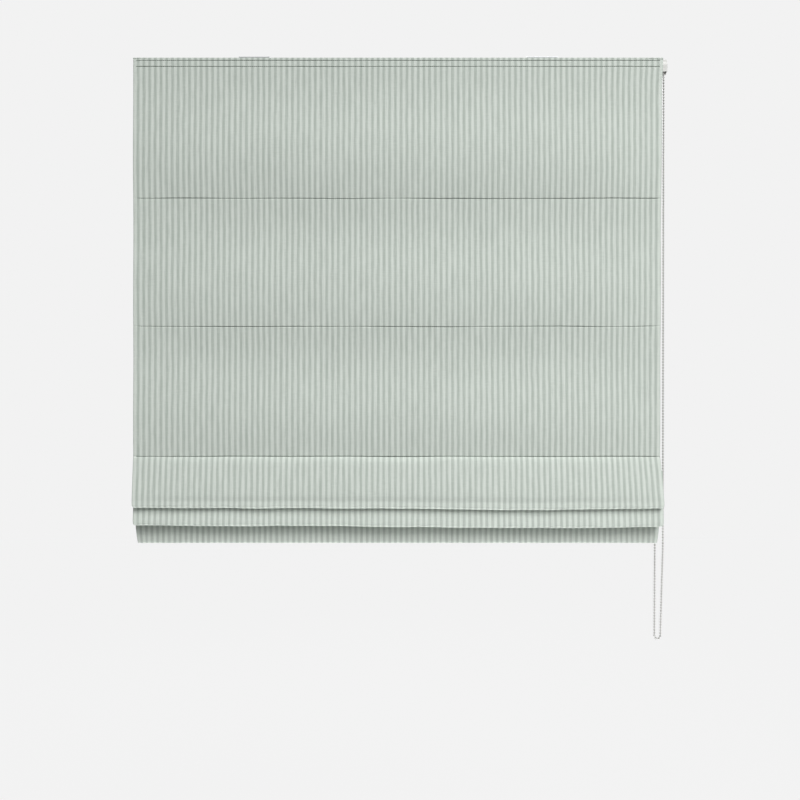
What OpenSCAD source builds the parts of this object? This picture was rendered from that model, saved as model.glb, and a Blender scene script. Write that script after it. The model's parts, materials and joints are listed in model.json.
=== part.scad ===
// Chain-operated roman blind, photographed with its two lowest folds gathered.
// Millimetres. Origin: middle of the two fixing holes, on the fixing plane.
// +Z is up, +X is to the right seen from the room, the face looks along -Y.

/* [Cloth] */
// Finished width of the cloth
cloth_width = 1100; // [700:5:1800]
// Thickness of the face cloth
face_thickness = 0.8; // [0.5:0.1:1.2]
// Thickness of the lining
lining_thickness = 0.6; // [0.4:0.1:1]
// Space between the face cloth and the lining
layer_gap = 0.3; // [0.2:0.1:0.6]
// Width of the turned side hems
side_hem = 30; // [15:1:60]
// Depth of the crease that a stitched line pulls in
seam_dip = 0.7; // [0.2:0.1:1.2]
// Half height of that crease
seam_reach = 3.5; // [2:0.5:6]

/* [Drop] */
// Top of the cloth below the fixing plane
heading_drop = 4; // [3:0.5:8]
// First heading seam below the top of the cloth
heading_seam_1 = 6; // [5:0.5:7]
// Second heading seam below the first
heading_seam_2 = 12.5; // [10:0.5:16]
// First panel, from the second heading seam to rod 1
panel_1 = 273.5; // [150:0.5:400]
// Second panel, from rod 1 to rod 2
panel_2 = 266; // [150:0.5:400]
// Third panel, from rod 2 to rod 3
panel_3 = 270; // [150:0.5:400]
// First fold hangs this far below rod 3
fold_1 = 104; // [90:1:140]
// Second fold hangs this far below the first
fold_2 = 40; // [34:1:60]
// Hem hangs this far below the second fold
hem_show = 39; // [36:1:70]
// First fold stands this far in front of the panel
fold_1_reach = 20; // [18:1:40]
// Second fold stands this far in front of the panel
fold_2_reach = 6; // [4:0.5:10]
// Bend radius at the bottom of a fold
fold_radius = 6.5; // [5:0.5:8]
// Bend radius of the crease between two folds
crest_radius = 2; // [1.5:0.1:2.5]
// First crease lies this far behind the panel
crest_4_depth = 7.6; // [6:0.2:10]
// First crease lies this far below its rod
crest_4_drop = 13; // [10:0.5:16]
// Second crease lies this far behind the panel
crest_5_depth = 15; // [12:0.5:16]
// Second crease lies this far below its rod
crest_5_drop = 15; // [12:0.5:18]
// Front of the hem lies this far behind the panel
hem_depth = 20.6; // [19:0.2:21]

/* [Rods] */
// Diameter of the stiffening rods
rod_diameter = 4; // [3:0.5:5]
// Radial play of a rod in its pocket
rod_play = 0.3; // [0.2:0.1:0.5]
// Wall of the rod pockets
pocket_wall = 0.8; // [0.6:0.1:1.2]
// Thickness of the sewn tuck that joins a pocket to the lining
tuck_thickness = 1.2; // [0.8:0.1:1.6]
// Rod ends stop this far inside the cloth edges
rod_inset = 14; // [8:1:30]
// Length of the caps on the rod ends
rod_cap_length = 8; // [6:0.5:12]
// Wall of those caps round the rod
rod_cap_wall = 0.9; // [0.6:0.1:1.2]
// Height step from one gathered rod to the next
stack_step = 14; // [12:0.5:16]
// Height of the hem bar
hem_bar_height = 22; // [16:1:26]
// Thickness of the hem bar
hem_bar_thickness = 3; // [2:0.2:3.4]
// Length of the caps on the hem bar
hem_cap_length = 6; // [4:0.5:10]
// Wall of those caps round the bar
hem_cap_wall = 0.6; // [0.4:0.1:0.7]

/* [Lift] */
// Lift cord diameter
cord_diameter = 1.4; // [1:0.1:1.8]
// Distance from the cloth's edge to the outer lift cords
cord_inset = 130; // [90:5:200]
// Radius of a cord ring, to the middle of its wire
ring_radius = 5; // [4:0.5:6]
// Wire radius of a cord ring
ring_wire = 1; // [0.8:0.1:1.4]
// Radius of the spool barrels
spool_radius = 6.2; // [5:0.1:6.6]
// Radius of the spool flanges
flange_radius = 8.6; // [8.4:0.1:8.8]
// Wound length of a spool between its flanges
spool_length = 30; // [24:1:40]
// Radius of the spool journals
journal_radius = 4.5; // [4:0.1:5]
// Running clearance of journals, hubs and levers
running_fit = 0.05; // [0.02:0.01:0.1]
// Side of the square drive shaft
shaft_side = 5; // [4:0.5:5.5]
// Wall of the spool cradles
cradle_wall = 2; // [1.5:0.1:3]
// Clear space between a spool and its cradle
cradle_play = 0.5; // [0.3:0.1:1]
// Bore of the cord grommets
grommet_bore = 3.2; // [2.6:0.1:4]

/* [Headrail] */
// Depth of the headrail from front to back
rail_depth = 40; // [38:1:50]
// Height of the headrail
rail_height = 24.6; // [24:0.2:30]
// Top of the headrail below the fixing plane
rail_drop = 4.4; // [4.2:0.1:6]
// Wall of the headrail
rail_wall = 1.4; // [1:0.1:2]
// Width of the two lips along the open top
rail_lip = 7; // [5:0.5:9]
// Headrail ends stop this far inside the cloth edges
rail_inset = 3; // [2:0.5:4]
// Thickness of each half of the hook and loop tape
tape_thickness = 1.2; // [0.8:0.1:1.6]
// Height of the tape
tape_height = 10; // [7:0.5:10]

/* [Control] */
// Pitch of the beads on the chain
bead_pitch = 6; // [5:0.5:7]
// Bead diameter
bead_diameter = 4.5; // [4:0.1:5]
// Diameter of the cord between beads
bead_neck = 1.2; // [0.8:0.1:1.6]
// Chain's bottom turn below the fixing plane
chain_drop = 1209; // [1100:1:1500]
// Height, below the fixing plane, where the chain's strands start to close in
chain_knee = 1020; // [900:1:1080]
// Chain's front strand leans in by this much
chain_lean_front = 1; // [0:0.5:3]
// Chain's rear strand leans in by this much
chain_lean_back = 14; // [8:0.5:16]
// Pockets round the chain wheel
wheel_pockets = 12; // [12:1:13]
// Width of the chain wheel
wheel_width = 7; // [6:0.2:7.4]
// Wall of the control housing
housing_wall = 1.3; // [1:0.1:1.8]
// Inside width of the control housing
housing_room = 11; // [10:0.5:14]
// Outer radius of the wheel hub
hub_radius = 6; // [5:0.1:6.4]
// Wire of the clutch spring
clutch_wire = 1; // [0.8:0.1:1.2]
// Turns of the clutch spring
clutch_turns = 9; // [6:1:12]

/* [Brackets] */
// Distance from the cloth's edge to the nearer fixing hole
fixing_inset = 250; // [200:5:280]
// Diameter of a fixing hole
fixing_hole = 5; // [4:0.5:6]
// Bracket length along the headrail
bracket_length = 64; // [56:1:90]
// Bracket depth from front to back
bracket_depth = 36; // [30:1:38]
// Sheet thickness of a bracket
bracket_sheet = 1.6; // [1.2:0.1:1.8]
// Rivet radius
rivet_radius = 2; // [1.5:0.1:2.5]
// Distance from a fixing hole to its lever's rivet
rivet_offset = 18; // [15:1:24]

/* [Hidden] */
$fn = 48;
eps = 0.01;

// Headrail section: outer faces, floor and the shaft's height in it
rail_front = -rail_depth / 2;
rail_top = -rail_drop;
rail_floor = rail_top - rail_height + rail_wall;
rail_half = cloth_width / 2 - rail_inset;
cap_plate = 1.5;
cap_plug = 12;
cap_fit = 0.15;
cradle_base = 1.4;
shaft_z = rail_floor + cradle_base + flange_radius + cradle_play;
shaft_fit = 0.05;

// Cloth layers, front to back, counted from the middle of the face cloth
lining_near = face_thickness / 2 + layer_gap;
lining_far = lining_near + lining_thickness;
tape_front = rail_front - 2 * tape_thickness;
tape_top = -rail_drop - rail_wall - 3;
face_y = tape_front - lining_far;
z_heading = -heading_drop;
heading_turn = heading_seam_1 - seam_reach * 0.4 - 0.2;
z_seam_1 = z_heading - heading_seam_1;
z_seam_2 = z_seam_1 - heading_seam_2;
z_rod_1 = z_seam_2 - panel_1;
z_rod_2 = z_rod_1 - panel_2;
z_rod_3 = z_rod_2 - panel_3;
z_fold_1 = z_rod_3 - fold_1;
z_fold_2 = z_fold_1 - fold_2;
z_hem = z_fold_2 - hem_show;

// Lift line: the cords leave the spools at the back and drop straight down
cord_y = spool_radius + cord_diameter / 2 + 0.3;
pocket_bore = rod_diameter / 2 + rod_play;
pocket_radius = pocket_bore + pocket_wall;
rod_y = cord_y - ring_radius - ring_wire - pocket_radius;
rod_sag = 4;
cord_spread = cloth_width / 2 - cord_inset;
cord_xs = [-cord_spread, 0, cord_spread];
spool_shift = -6;
rod_zs = [z_rod_1 - rod_sag, z_rod_2 - rod_sag, z_rod_3 - rod_sag,
  z_rod_3 - rod_sag - stack_step, z_rod_3 - rod_sag - 2 * stack_step];
rod_half = cloth_width / 2 - rod_inset;
rod_cap_end = 1.5;
rod_cap_fit = 0.02;

// Gathered folds: crease heights under rods 4 and 5, all places from the panel and rod 3
crest_4 = [face_y + crest_4_depth, rod_zs[3] - crest_4_drop];
crest_5 = [face_y + crest_5_depth, rod_zs[4] - crest_5_drop];
hem_pocket = hem_bar_thickness + 2 * hem_cap_wall + 0.6 + face_thickness;
hem_front = face_y + hem_depth;
hem_turn = hem_bar_height + 9;

// Small helpers for lines in the side view (y, z)
function unit(v) = v / norm(v);
function side(p, i) = let (a = p[max(i - 1, 0)], b = p[min(i + 1, len(p) - 1)], d = unit(b - a))
  [-d[1], d[0]];
// Closed outline of a strip between two distances from a line, positive towards the lining
function strip(p, near, far) = concat([for (i = [0:len(p) - 1]) p[i] + near * side(p, i)],
  [for (i = [len(p) - 1:-1:0]) p[i] + far * side(p, i)]);
function heading_of(v) = atan2(v[1], v[0]);
// Round a bend: centre, radius, first and last angle
function bend(c, r, a, b, n) = [for (k = [0:n]) c + r * [cos(a + (b - a) * k / n), sin(a + (b - a) * k / n)]];
// Angle where a straight leg from a fold's bottom (c) meets the crest (d) it hangs from
function leg_up(c, r, d, q) = heading_of(d - c) - acos((r + q) / norm(d - c));
// Angle where a straight leg down from a crest (d) meets the next fold's bottom (c)
function leg_down(c, r, d, q) = heading_of(d - c) + acos((r + q) / norm(d - c));

// The face cloth's line from the turned heading down to rod 3
function seam_points(z) = [[face_y, z + seam_reach], [face_y + seam_dip, z],
  [face_y, z - seam_reach]];
heading_bend = (lining_far - face_thickness / 2) / 2;
heading_line = concat([[face_y + 2 * heading_bend, z_heading - heading_turn]],
  bend([face_y + heading_bend, z_heading - heading_bend - face_thickness / 2], heading_bend, 0, 180, 4));
panel_line = concat([[face_y, z_seam_1 + seam_reach * 0.4], [face_y + seam_dip, z_seam_1],
  [face_y, z_seam_1 - seam_reach]], seam_points(z_seam_2), seam_points(z_rod_1),
  seam_points(z_rod_2), [[face_y, z_rod_3 + seam_reach]]);

// The same line on through the two folds, as round bends joined by straight legs
seam_3 = [face_y + seam_dip, z_rod_3];
low_1 = [face_y - fold_1_reach + fold_radius, z_fold_1 + fold_radius + face_thickness / 2];
low_2 = [face_y - fold_2_reach + fold_radius, z_fold_2 + fold_radius + face_thickness / 2];
top_4 = crest_4 - [0, crest_radius];
top_5 = crest_5 - [0, crest_radius];
hem_top = [hem_front, z_hem + hem_turn + 3];
start_1 = heading_of(seam_3 - low_1) + acos(fold_radius / norm(seam_3 - low_1));
leave_1 = leg_up(low_1, fold_radius, top_4, crest_radius);
start_2 = leg_down(low_2, fold_radius, top_4, crest_radius);
leave_2 = leg_up(low_2, fold_radius, top_5, crest_radius);
end_5 = heading_of(hem_top - top_5) + acos(crest_radius / norm(hem_top - top_5));
fold_line = concat([seam_3],
  bend(low_1, fold_radius, start_1, leave_1 + 360, 10),
  bend(top_4, crest_radius, leave_1 + 180, start_2 - 180, 6),
  bend(low_2, fold_radius, start_2, leave_2 + 360, 10),
  bend(top_5, crest_radius, leave_2 + 180, end_5, 6), [hem_top]);
hem_radius = hem_pocket / 2;
hem_line = concat(bend([hem_front + hem_radius, z_hem + hem_radius + face_thickness / 2], hem_radius,
  180, 360, 8), [[hem_front + hem_pocket, z_hem + hem_turn]]);
face_route = concat(heading_line, panel_line, fold_line, hem_line);
body_line = concat([[face_y, z_seam_2 - seam_reach]], seam_points(z_rod_1), seam_points(z_rod_2),
  [[face_y, z_rod_3 + seam_reach]], fold_line);
lining_route = concat([[face_y, z_seam_1 - seam_reach], [face_y, z_seam_2 + seam_reach],
  [face_y + seam_dip, z_seam_2]], body_line);

// Bead chain: wheel, strands and the turn at the bottom
wheel_radius = bead_pitch / (2 * sin(180 / wheel_pockets));
housing_x = rail_half + cap_plate;
wheel_x = housing_x + housing_room / 2;
cavity_radius = wheel_radius + bead_diameter / 2 + 0.4;
chain_front = [wheel_x, -wheel_radius, shaft_z];
chain_back = [wheel_x, wheel_radius, shaft_z];
chain_low = [wheel_x - chain_lean_back + 3, -2, -chain_drop];
chain_knee_front = [wheel_x - chain_lean_front, -9, -chain_knee];
chain_knee_back = [wheel_x - chain_lean_back, 7, -chain_knee];
chain_twist = 20;
chain_turn = [for (k = [0:3]) chain_low + bead_pitch * [cos(k * 60) * cos(chain_twist),
  -cos(k * 60) * sin(chain_twist), -sin(k * 60)]];
wheel_arc = [for (k = [1:wheel_pockets / 2 - 1]) let (a = k * 360 / wheel_pockets)
  [wheel_x, wheel_radius * cos(a), shaft_z + wheel_radius * sin(a)]];
chain_route = concat([chain_front, chain_knee_front], chain_turn, [chain_knee_back, chain_back],
  wheel_arc, [chain_front]);
// Revolved outline of one straight length of chain with n beads
bead_bends = [-52, -18, 18, 52];
function strand_outline(n, step) = let (r = bead_diameter / 2, q = bead_neck / 2, e = n * step - r - 0.05)
  concat([[0, -r]], [for (k = [0:n - 1]) each concat(
    k == 0 ? [] : [[q, k * step - sqrt(r * r - q * q)]],
    [for (a = bead_bends) [r * cos(a), k * step + r * sin(a)]],
    [[q, k * step + sqrt(r * r - q * q)]])], [[q, e], [0, e]]);

// Brackets
lip_gap = 0.6;
lever_sheet = 1.5;
tab_gap = 0.4;
fixing_reach = cloth_width / 2 - fixing_inset;
bracket_xs = [-fixing_reach, fixing_reach];
lip_under = rail_top - rail_wall - lip_gap;
lip_inner = rail_depth / 2 - rail_lip;

// Draws a side outline (y, z) across the width, between two x places
module across(from, to) {
  translate([from, 0, 0])
    rotate([90, 0, 90])
      linear_extrude(height = to - from)
        children();
}

// Turns a revolved part's axis to lie along X
module on_shaft(x) {
  translate([x, 0, shaft_z])
    rotate([0, 90, 0])
      children();
}

// Square hole for the drive shaft
module shaft_hole(from, to) {
  s = shaft_side + 2 * shaft_fit;
  translate([0, 0, (from + to) / 2])
    cube([s, s, to - from + 2], center = true);
}

// Aluminium channel with two lips along its open top
module headrail() {
  color("gainsboro")
    difference() {
      across(-rail_half, rail_half)
        difference() {
          translate([rail_front, rail_top - rail_height])
            square([rail_depth, rail_height]);
          translate([rail_front + rail_wall, rail_floor])
            square([rail_depth - 2 * rail_wall, rail_height - 2 * rail_wall]);
          translate([-lip_inner, rail_top - rail_wall - 1])
            square([2 * lip_inner, rail_wall + 2]);
        }
      for (x = cord_xs)
        translate([x, cord_y, rail_floor - rail_wall - 1])
          cylinder(r = grommet_bore / 2 + 1.4, h = rail_wall + 2);
    }
}

// Hook half, stuck to the front of the headrail
module hook_tape() {
  color("white")
    across(-rail_half, rail_half)
      translate([rail_front - tape_thickness, tape_top - tape_height])
        square([tape_thickness, tape_height]);
}

// Loop half, sewn along the heading
module loop_tape() {
  color("ivory")
    across(-rail_half, rail_half)
      translate([tape_front, tape_top - tape_height])
        square([tape_thickness, tape_height]);
}

// Plug that seats inside the headrail
module rail_plug(h) {
  w = rail_depth - 2 * rail_wall - 2 * cap_fit;
  linear_extrude(height = h)
    difference() {
      translate([-w / 2, rail_floor + cap_fit])
        square([w, rail_height - 2 * rail_wall - 2 * cap_fit]);
      translate([-w / 2 + 1.6, rail_floor + cap_fit + 1.6])
        square([w - 3.2, rail_height]);
    }
}

// Plain end cap at the idle end
module idle_end_cap() {
  color("white")
    mirror([1, 0, 0]) {
      across(rail_half, rail_half + cap_plate)
        translate([rail_front, rail_top - rail_height])
          square([rail_depth, rail_height]);
      translate([rail_half - cap_plug, 0, 0])
        rotate([90, 0, 90])
          rail_plug(cap_plug + eps);
    }
}

// Outline of the wheel's cup, arched over the wheel and open below
module cup_outline(r) {
  translate([0, shaft_z])
    circle(r = r);
  translate([-r, rail_top - rail_height - 1])
    square([2 * r, shaft_z - rail_top + rail_height + 1]);
}

// Housing: rail plate and plug, fixed clutch drum and the cup round the wheel
drum_bore = hub_radius + 0.4 + clutch_wire + 0.1;
drum_length = clutch_wire * clutch_turns + 2;
module control_housing() {
  color("white")
    difference() {
      union() {
        across(rail_half, housing_x)
          translate([rail_front, rail_top - rail_height])
            square([rail_depth, rail_height]);
        translate([rail_half - cap_plug, 0, 0])
          rotate([90, 0, 90])
            rail_plug(cap_plug + eps);
        across(rail_half, housing_x + housing_room)
          cup_outline(cavity_radius + housing_wall);
        on_shaft(rail_half - drum_length)
          cylinder(r = drum_bore + 1, h = drum_length + eps);
      }
      across(housing_x, housing_x + housing_room + 1)
        cup_outline(cavity_radius);
      across(housing_x, housing_x + housing_room + 1)
        translate([-cavity_radius, rail_top - rail_height - 3])
          square([2 * cavity_radius, 4]);
      on_shaft(rail_half - drum_length - 1)
        cylinder(r = drum_bore, h = drum_length + 1);
      on_shaft(rail_half - 1)
        cylinder(r = hub_radius + running_fit, h = cap_plate + 2);
    }
}

// Cover plate over the open side, with the wheel's outer bearing
module control_cover() {
  color("white")
    difference() {
      union() {
        across(housing_x + housing_room, housing_x + housing_room + housing_wall)
          cup_outline(cavity_radius + housing_wall);
        on_shaft(housing_x + housing_room - 1)
          cylinder(r = hub_radius, h = 1 + eps);
      }
      on_shaft(housing_x + housing_room - 2)
        cylinder(r = hub_radius - 2 + running_fit, h = 2.4);
    }
}

// Close-wound spring that grips the drum and holds the blind at any height
module clutch_spring() {
  r = hub_radius + 0.4 + clutch_wire / 2;
  color("silver")
    on_shaft(rail_half - drum_length + 0.5)
      rotate_extrude()
        union() {
          for (k = [0:clutch_turns - 1])
            translate([r, clutch_wire * (k + 0.5)])
              circle(d = clutch_wire + 0.06);
        }
}

// Wheel with a pocket for each bead, a flange at both sides and hubs
wheel_rim = wheel_radius - 1;
wheel_slot = bead_diameter + 0.6;
module chain_wheel() {
  color("whitesmoke")
    difference() {
      union() {
        on_shaft(wheel_x - wheel_slot / 2 - eps)
          cylinder(r = wheel_rim, h = wheel_slot + 2 * eps, $fn = 96);
        for (x = [-wheel_width / 2, wheel_slot / 2])
          on_shaft(wheel_x + x)
            cylinder(r = wheel_radius + 1.5, h = (wheel_width - wheel_slot) / 2, $fn = 96);
        on_shaft(rail_half - drum_length + 0.5)
          cylinder(r = hub_radius, h = wheel_x - rail_half + drum_length - 1);
        on_shaft(wheel_x)
          cylinder(r = hub_radius - 2, h = housing_room / 2 + 0.2);
      }
      on_shaft(wheel_x)
        rotate_extrude($fn = 96)
          translate([wheel_rim + 0.4, 0])
            circle(d = bead_neck + 0.6);
      for (k = [0:wheel_pockets - 1])
        on_shaft(wheel_x)
          rotate([0, 0, k * 360 / wheel_pockets])
            translate([wheel_radius, 0, 0])
              sphere(d = bead_diameter + 0.3);
      translate([0, 0, shaft_z])
        rotate([0, 90, 0])
          shaft_hole(rail_half - drum_length - 1, wheel_x);
    }
}

// Endless chain: beads moulded on a cord, drawn in straight lengths along its route
module bead_chain() {
  color("white")
    for (i = [0:len(chain_route) - 2]) {
      d = chain_route[i + 1] - chain_route[i];
      n = max(1, round(norm(d) / bead_pitch));
      translate(chain_route[i])
        rotate([0, acos(d[2] / norm(d)), atan2(d[1], d[0])])
          rotate_extrude($fn = 24)
            polygon(strand_outline(n, norm(d) / n));
    }
}

// Square shaft through the spools into the wheel
module drive_shaft() {
  from = -cord_spread + spool_shift - spool_length / 2 - 12;
  to = wheel_x - 0.5;
  color("silver")
    translate([(from + to) / 2, 0, shaft_z])
      cube([to - from, shaft_side, shaft_side], center = true);
}

// Flanged spool with journals, revolved round the shaft
flange_sheet = 1.4;
journal_length = cradle_play + cradle_wall + 1;
module spool(x) {
  half = spool_length / 2;
  color("white")
    on_shaft(x + spool_shift)
      difference() {
        rotate_extrude()
          polygon([[0, -half - flange_sheet - journal_length], [journal_radius, -half - flange_sheet
            - journal_length], [journal_radius, -half - flange_sheet], [flange_radius, -half
            - flange_sheet], [flange_radius, -half], [spool_radius, -half], [spool_radius, half],
            [flange_radius, half], [flange_radius, half + flange_sheet], [journal_radius, half
            + flange_sheet], [journal_radius, half + flange_sheet + journal_length],
            [0, half + flange_sheet + journal_length]]);
        shaft_hole(-half - 20, half + 20);
      }
}
module spool_left() { spool(cord_xs[0]); }
module spool_middle() { spool(cord_xs[1]); }
module spool_right() { spool(cord_xs[2]); }

// Cradle: base on the headrail floor and two bearing walls
module cradle(x) {
  half = spool_length / 2 + flange_sheet + cradle_play;
  w = rail_depth - 2 * rail_wall - 2 * cap_fit;
  color("lightgray")
    difference() {
      union() {
        translate([x + spool_shift - half - cradle_wall, -w / 2, rail_floor])
          cube([2 * half + 2 * cradle_wall, w, cradle_base]);
        for (s = [-1, 1])
          translate([x + spool_shift + s * (half + cradle_wall / 2), 0, 0])
            across(-cradle_wall / 2, cradle_wall / 2)
              polygon([[-w / 2, rail_floor], [w / 2, rail_floor], [w / 2, rail_floor + 6],
                [journal_radius + 2, shaft_z + 4], [-journal_radius - 2, shaft_z + 4],
                [-w / 2, rail_floor + 6]]);
      }
      on_shaft(x + spool_shift - half - cradle_wall - 1)
        cylinder(r = journal_radius + running_fit, h = 2 * half + 2 * cradle_wall + 2);
      translate([x, cord_y, rail_floor - 1])
        cylinder(r = grommet_bore / 2 + 1.4, h = cradle_base + 2);
    }
}
module cradle_left() { cradle(cord_xs[0]); }
module cradle_middle() { cradle(cord_xs[1]); }
module cradle_right() { cradle(cord_xs[2]); }

// Cord already wound on the spools, turn beside turn
winding_turns = 12;
module cord_windings() {
  color("white")
    for (x = cord_xs)
      on_shaft(x + spool_shift - spool_length / 2 + 0.4)
        rotate_extrude()
          union() {
            for (k = [0:winding_turns - 1])
              translate([spool_radius + cord_diameter / 2, cord_diameter * (k + 0.5)])
                circle(d = cord_diameter);
            translate([spool_radius, 0])
              square([cord_diameter / 2, cord_diameter * winding_turns]);
          }
}

// Straight run of one lift cord, from its spool to its toggle
toggle_length = 13;
toggle_radius = 3.4;
toggle_top = rod_zs[4] - ring_wire - 1;
module lift_cord(x) {
  rings = 40;
  sides = 8;
  from = shaft_z;
  to = toggle_top - toggle_length / 2;
  points = [for (k = [0:rings - 1]) for (j = [0:sides - 1])
    [x + cord_diameter / 2 * cos(j * 360 / sides), cord_y + cord_diameter / 2 * sin(j * 360 / sides),
      from + (to - from) * k / (rings - 1)]];
  walls = [for (k = [0:rings - 2]) for (j = [0:sides - 1])
    [k * sides + j, k * sides + (j + 1) % sides, (k + 1) * sides + (j + 1) % sides, (k + 1) * sides + j]];
  lids = [[for (j = [sides - 1:-1:0]) j], [for (j = [0:sides - 1]) (rings - 1) * sides + j]];
  color("white")
    polyhedron(points, concat(walls, lids));
}
module lift_cord_left() { lift_cord(cord_xs[0]); }
module lift_cord_middle() { lift_cord(cord_xs[1]); }
module lift_cord_right() { lift_cord(cord_xs[2]); }

// Eyelets that lead the cords out of the headrail
module cord_grommets() {
  color("white")
    for (x = cord_xs)
      translate([x, cord_y, 0])
        rotate_extrude()
          polygon([[grommet_bore / 2, rail_floor - rail_wall - 1.2], [grommet_bore / 2 + 3, rail_floor
            - rail_wall - 1.2], [grommet_bore / 2 + 3, rail_floor - rail_wall], [grommet_bore / 2 + 1.3,
            rail_floor - rail_wall], [grommet_bore / 2 + 1.3, rail_floor + cradle_base + 0.2],
            [grommet_bore / 2, rail_floor + cradle_base + 0.2]]);
}

// Steel bracket: plate with a hook under the headrail's front lip
module bracket(x) {
  hook_back = -lip_inner + 2;
  color("lightsteelblue")
    difference() {
      translate([x, 0, 0]) {
        translate([-bracket_length / 2, -bracket_depth / 2, -bracket_sheet])
          cube([bracket_length, bracket_depth, bracket_sheet]);
        for (s = [-1, 1])
          translate([s * (bracket_length / 2 - 8), 0, 0])
            across(-6, 6)
              polygon([[hook_back, -bracket_sheet / 2], [hook_back, lip_under - bracket_sheet],
                [-lip_inner - 4, lip_under - bracket_sheet], [-lip_inner - 4, lip_under],
                [hook_back - bracket_sheet, lip_under], [hook_back - bracket_sheet,
                -bracket_sheet / 2]]);
      }
      translate([x, 0, -bracket_sheet - 1])
        cylinder(d = fixing_hole, h = bracket_sheet + 2);
      translate([x + rivet_offset, 0, -bracket_sheet - 1])
        cylinder(r = rivet_radius + running_fit, h = bracket_sheet + 2);
    }
}
module bracket_left() { bracket(bracket_xs[0]); }
module bracket_right() { bracket(bracket_xs[1]); }

// Swivel lever: boss on the rivet, wing under the rear lip, thumb tab over it
wing_half = 5;
module lever(x) {
  top = -bracket_sheet - tab_gap;
  color("silver")
    translate([x + rivet_offset, 0, 0])
      difference() {
        union() {
          translate([0, 0, lip_under - lever_sheet])
            cylinder(r = wing_half, h = top - lip_under + lever_sheet);
          translate([-wing_half, 0, lip_under - lever_sheet])
            cube([2 * wing_half, lip_inner + 4, lever_sheet]);
          translate([-wing_half, 0, rail_top + tab_gap])
            cube([2 * wing_half, rail_depth / 2 + 6, top - rail_top - tab_gap]);
        }
        translate([0, 0, lip_under - lever_sheet - 1])
          cylinder(r = rivet_radius + running_fit, h = 12);
      }
}
module lever_left() { lever(bracket_xs[0]); }
module lever_right() { lever(bracket_xs[1]); }

// Rivets that hold the levers
module bracket_rivets() {
  color("dimgray")
    for (x = bracket_xs)
      translate([x + rivet_offset, 0, 0])
        rotate_extrude()
          polygon([[0, 0], [rivet_radius, 0], [rivet_radius, lip_under - lever_sheet - 0.1],
            [rivet_radius + 1.6, lip_under - lever_sheet - 0.1], [rivet_radius + 1.2,
            lip_under - lever_sheet - 1.3], [0, lip_under - lever_sheet - 1.3]]);
}

// Face cloth in one piece, with its side hems turned to the back
turn_far = lining_near + lining_thickness / 2;
module face_cloth() {
  half = cloth_width / 2;
  color([0.75, 0.79, 0.76]) {
    across(-half, half)
      polygon(strip(face_route, -face_thickness / 2, face_thickness / 2));
    for (x = [-half, half - side_hem])
      across(x, x + side_hem)
        polygon(strip(body_line, 0, turn_far));
  }
}

// Tuck from a stitched line to its rod pocket
module tuck(from, at) {
  d = unit(at - from);
  n = [-d[1], d[0]] * tuck_thickness / 2;
  polygon([from + n, from - n, at - n, at + n]);
}
function seam_back(z) = [face_y + seam_dip + lining_near + 0.1, z];

// Lining in one piece, with a rod pocket behind every stitched line
module lining() {
  half = cloth_width / 2 - side_hem - 0.5;
  roots = [seam_back(z_rod_1), seam_back(z_rod_2), seam_back(z_rod_3),
    crest_4 + [0.3, lining_near + 0.1], crest_5 + [0.3, lining_near + 0.1]];
  color("ivory")
    across(-half, half)
      difference() {
        union() {
          polygon(strip(lining_route, lining_near, lining_far));
          for (k = [0:4]) {
            tuck(roots[k], [rod_y, rod_zs[k]]);
            translate([rod_y, rod_zs[k]])
              circle(r = pocket_radius);
          }
        }
        for (z = rod_zs)
          translate([rod_y, z])
            circle(r = pocket_bore);
      }
}

// Stiffening rods
module rod(k) {
  color("white")
    translate([-rod_half, rod_y, rod_zs[k]])
      rotate([0, 90, 0])
        cylinder(d = rod_diameter, h = 2 * rod_half);
}
module rod_1() { rod(0); }
module rod_2() { rod(1); }
module rod_3() { rod(2); }
module rod_4() { rod(3); }
module rod_5() { rod(4); }

// Caps pushed on both ends of a rod, with a chamfered nose
module rod_caps(k) {
  r = rod_diameter / 2 + rod_cap_wall;
  bore = rod_diameter / 2 + rod_cap_fit;
  nose = rod_cap_wall * 0.7;
  color("white")
    for (s = [-1, 1])
      translate([s * (rod_half + rod_cap_end), rod_y, rod_zs[k]])
        rotate([0, -s * 90, 0])
          rotate_extrude()
            polygon([[0, 0], [r - nose, 0], [r, nose], [r, rod_cap_length], [bore, rod_cap_length],
              [bore, rod_cap_end - 0.1], [0, rod_cap_end - 0.1]]);
}
module rod_caps_1() { rod_caps(0); }
module rod_caps_2() { rod_caps(1); }
module rod_caps_3() { rod_caps(2); }
module rod_caps_4() { rod_caps(3); }
module rod_caps_5() { rod_caps(4); }

// Rings sewn to a rod pocket, one on each lift cord
module rings(k) {
  color("white")
    for (x = cord_xs)
      translate([x, cord_y, rod_zs[k]])
        rotate_extrude()
          translate([ring_radius, 0])
            circle(r = ring_wire);
}
module rings_1() { rings(0); }
module rings_2() { rings(1); }
module rings_3() { rings(2); }
module rings_4() { rings(3); }
module rings_5() { rings(4); }

// Weight bar in the hem
bar_y = hem_front + hem_pocket / 2;
bar_z = z_hem + face_thickness + 1.6;
bar_half = cloth_width / 2 - rod_inset + 2;
module hem_bar() {
  color("silver")
    across(-bar_half, bar_half)
      translate([bar_y - hem_bar_thickness / 2, bar_z + hem_cap_wall])
        square([hem_bar_thickness, hem_bar_height]);
}

// Push-on caps at the ends of the bar
module hem_bar_caps() {
  w = hem_bar_thickness + 2 * hem_cap_wall;
  h = hem_bar_height + 2 * hem_cap_wall;
  color("white")
    for (s = [-1, 1])
      translate([s * (bar_half + 1 - hem_cap_length / 2), bar_y, bar_z + h / 2])
        difference() {
          cube([hem_cap_length, w, h], center = true);
          translate([-s, 0, 0])
            cube([hem_cap_length, hem_bar_thickness + 0.04, hem_bar_height + 0.04], center = true);
        }
}

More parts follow.
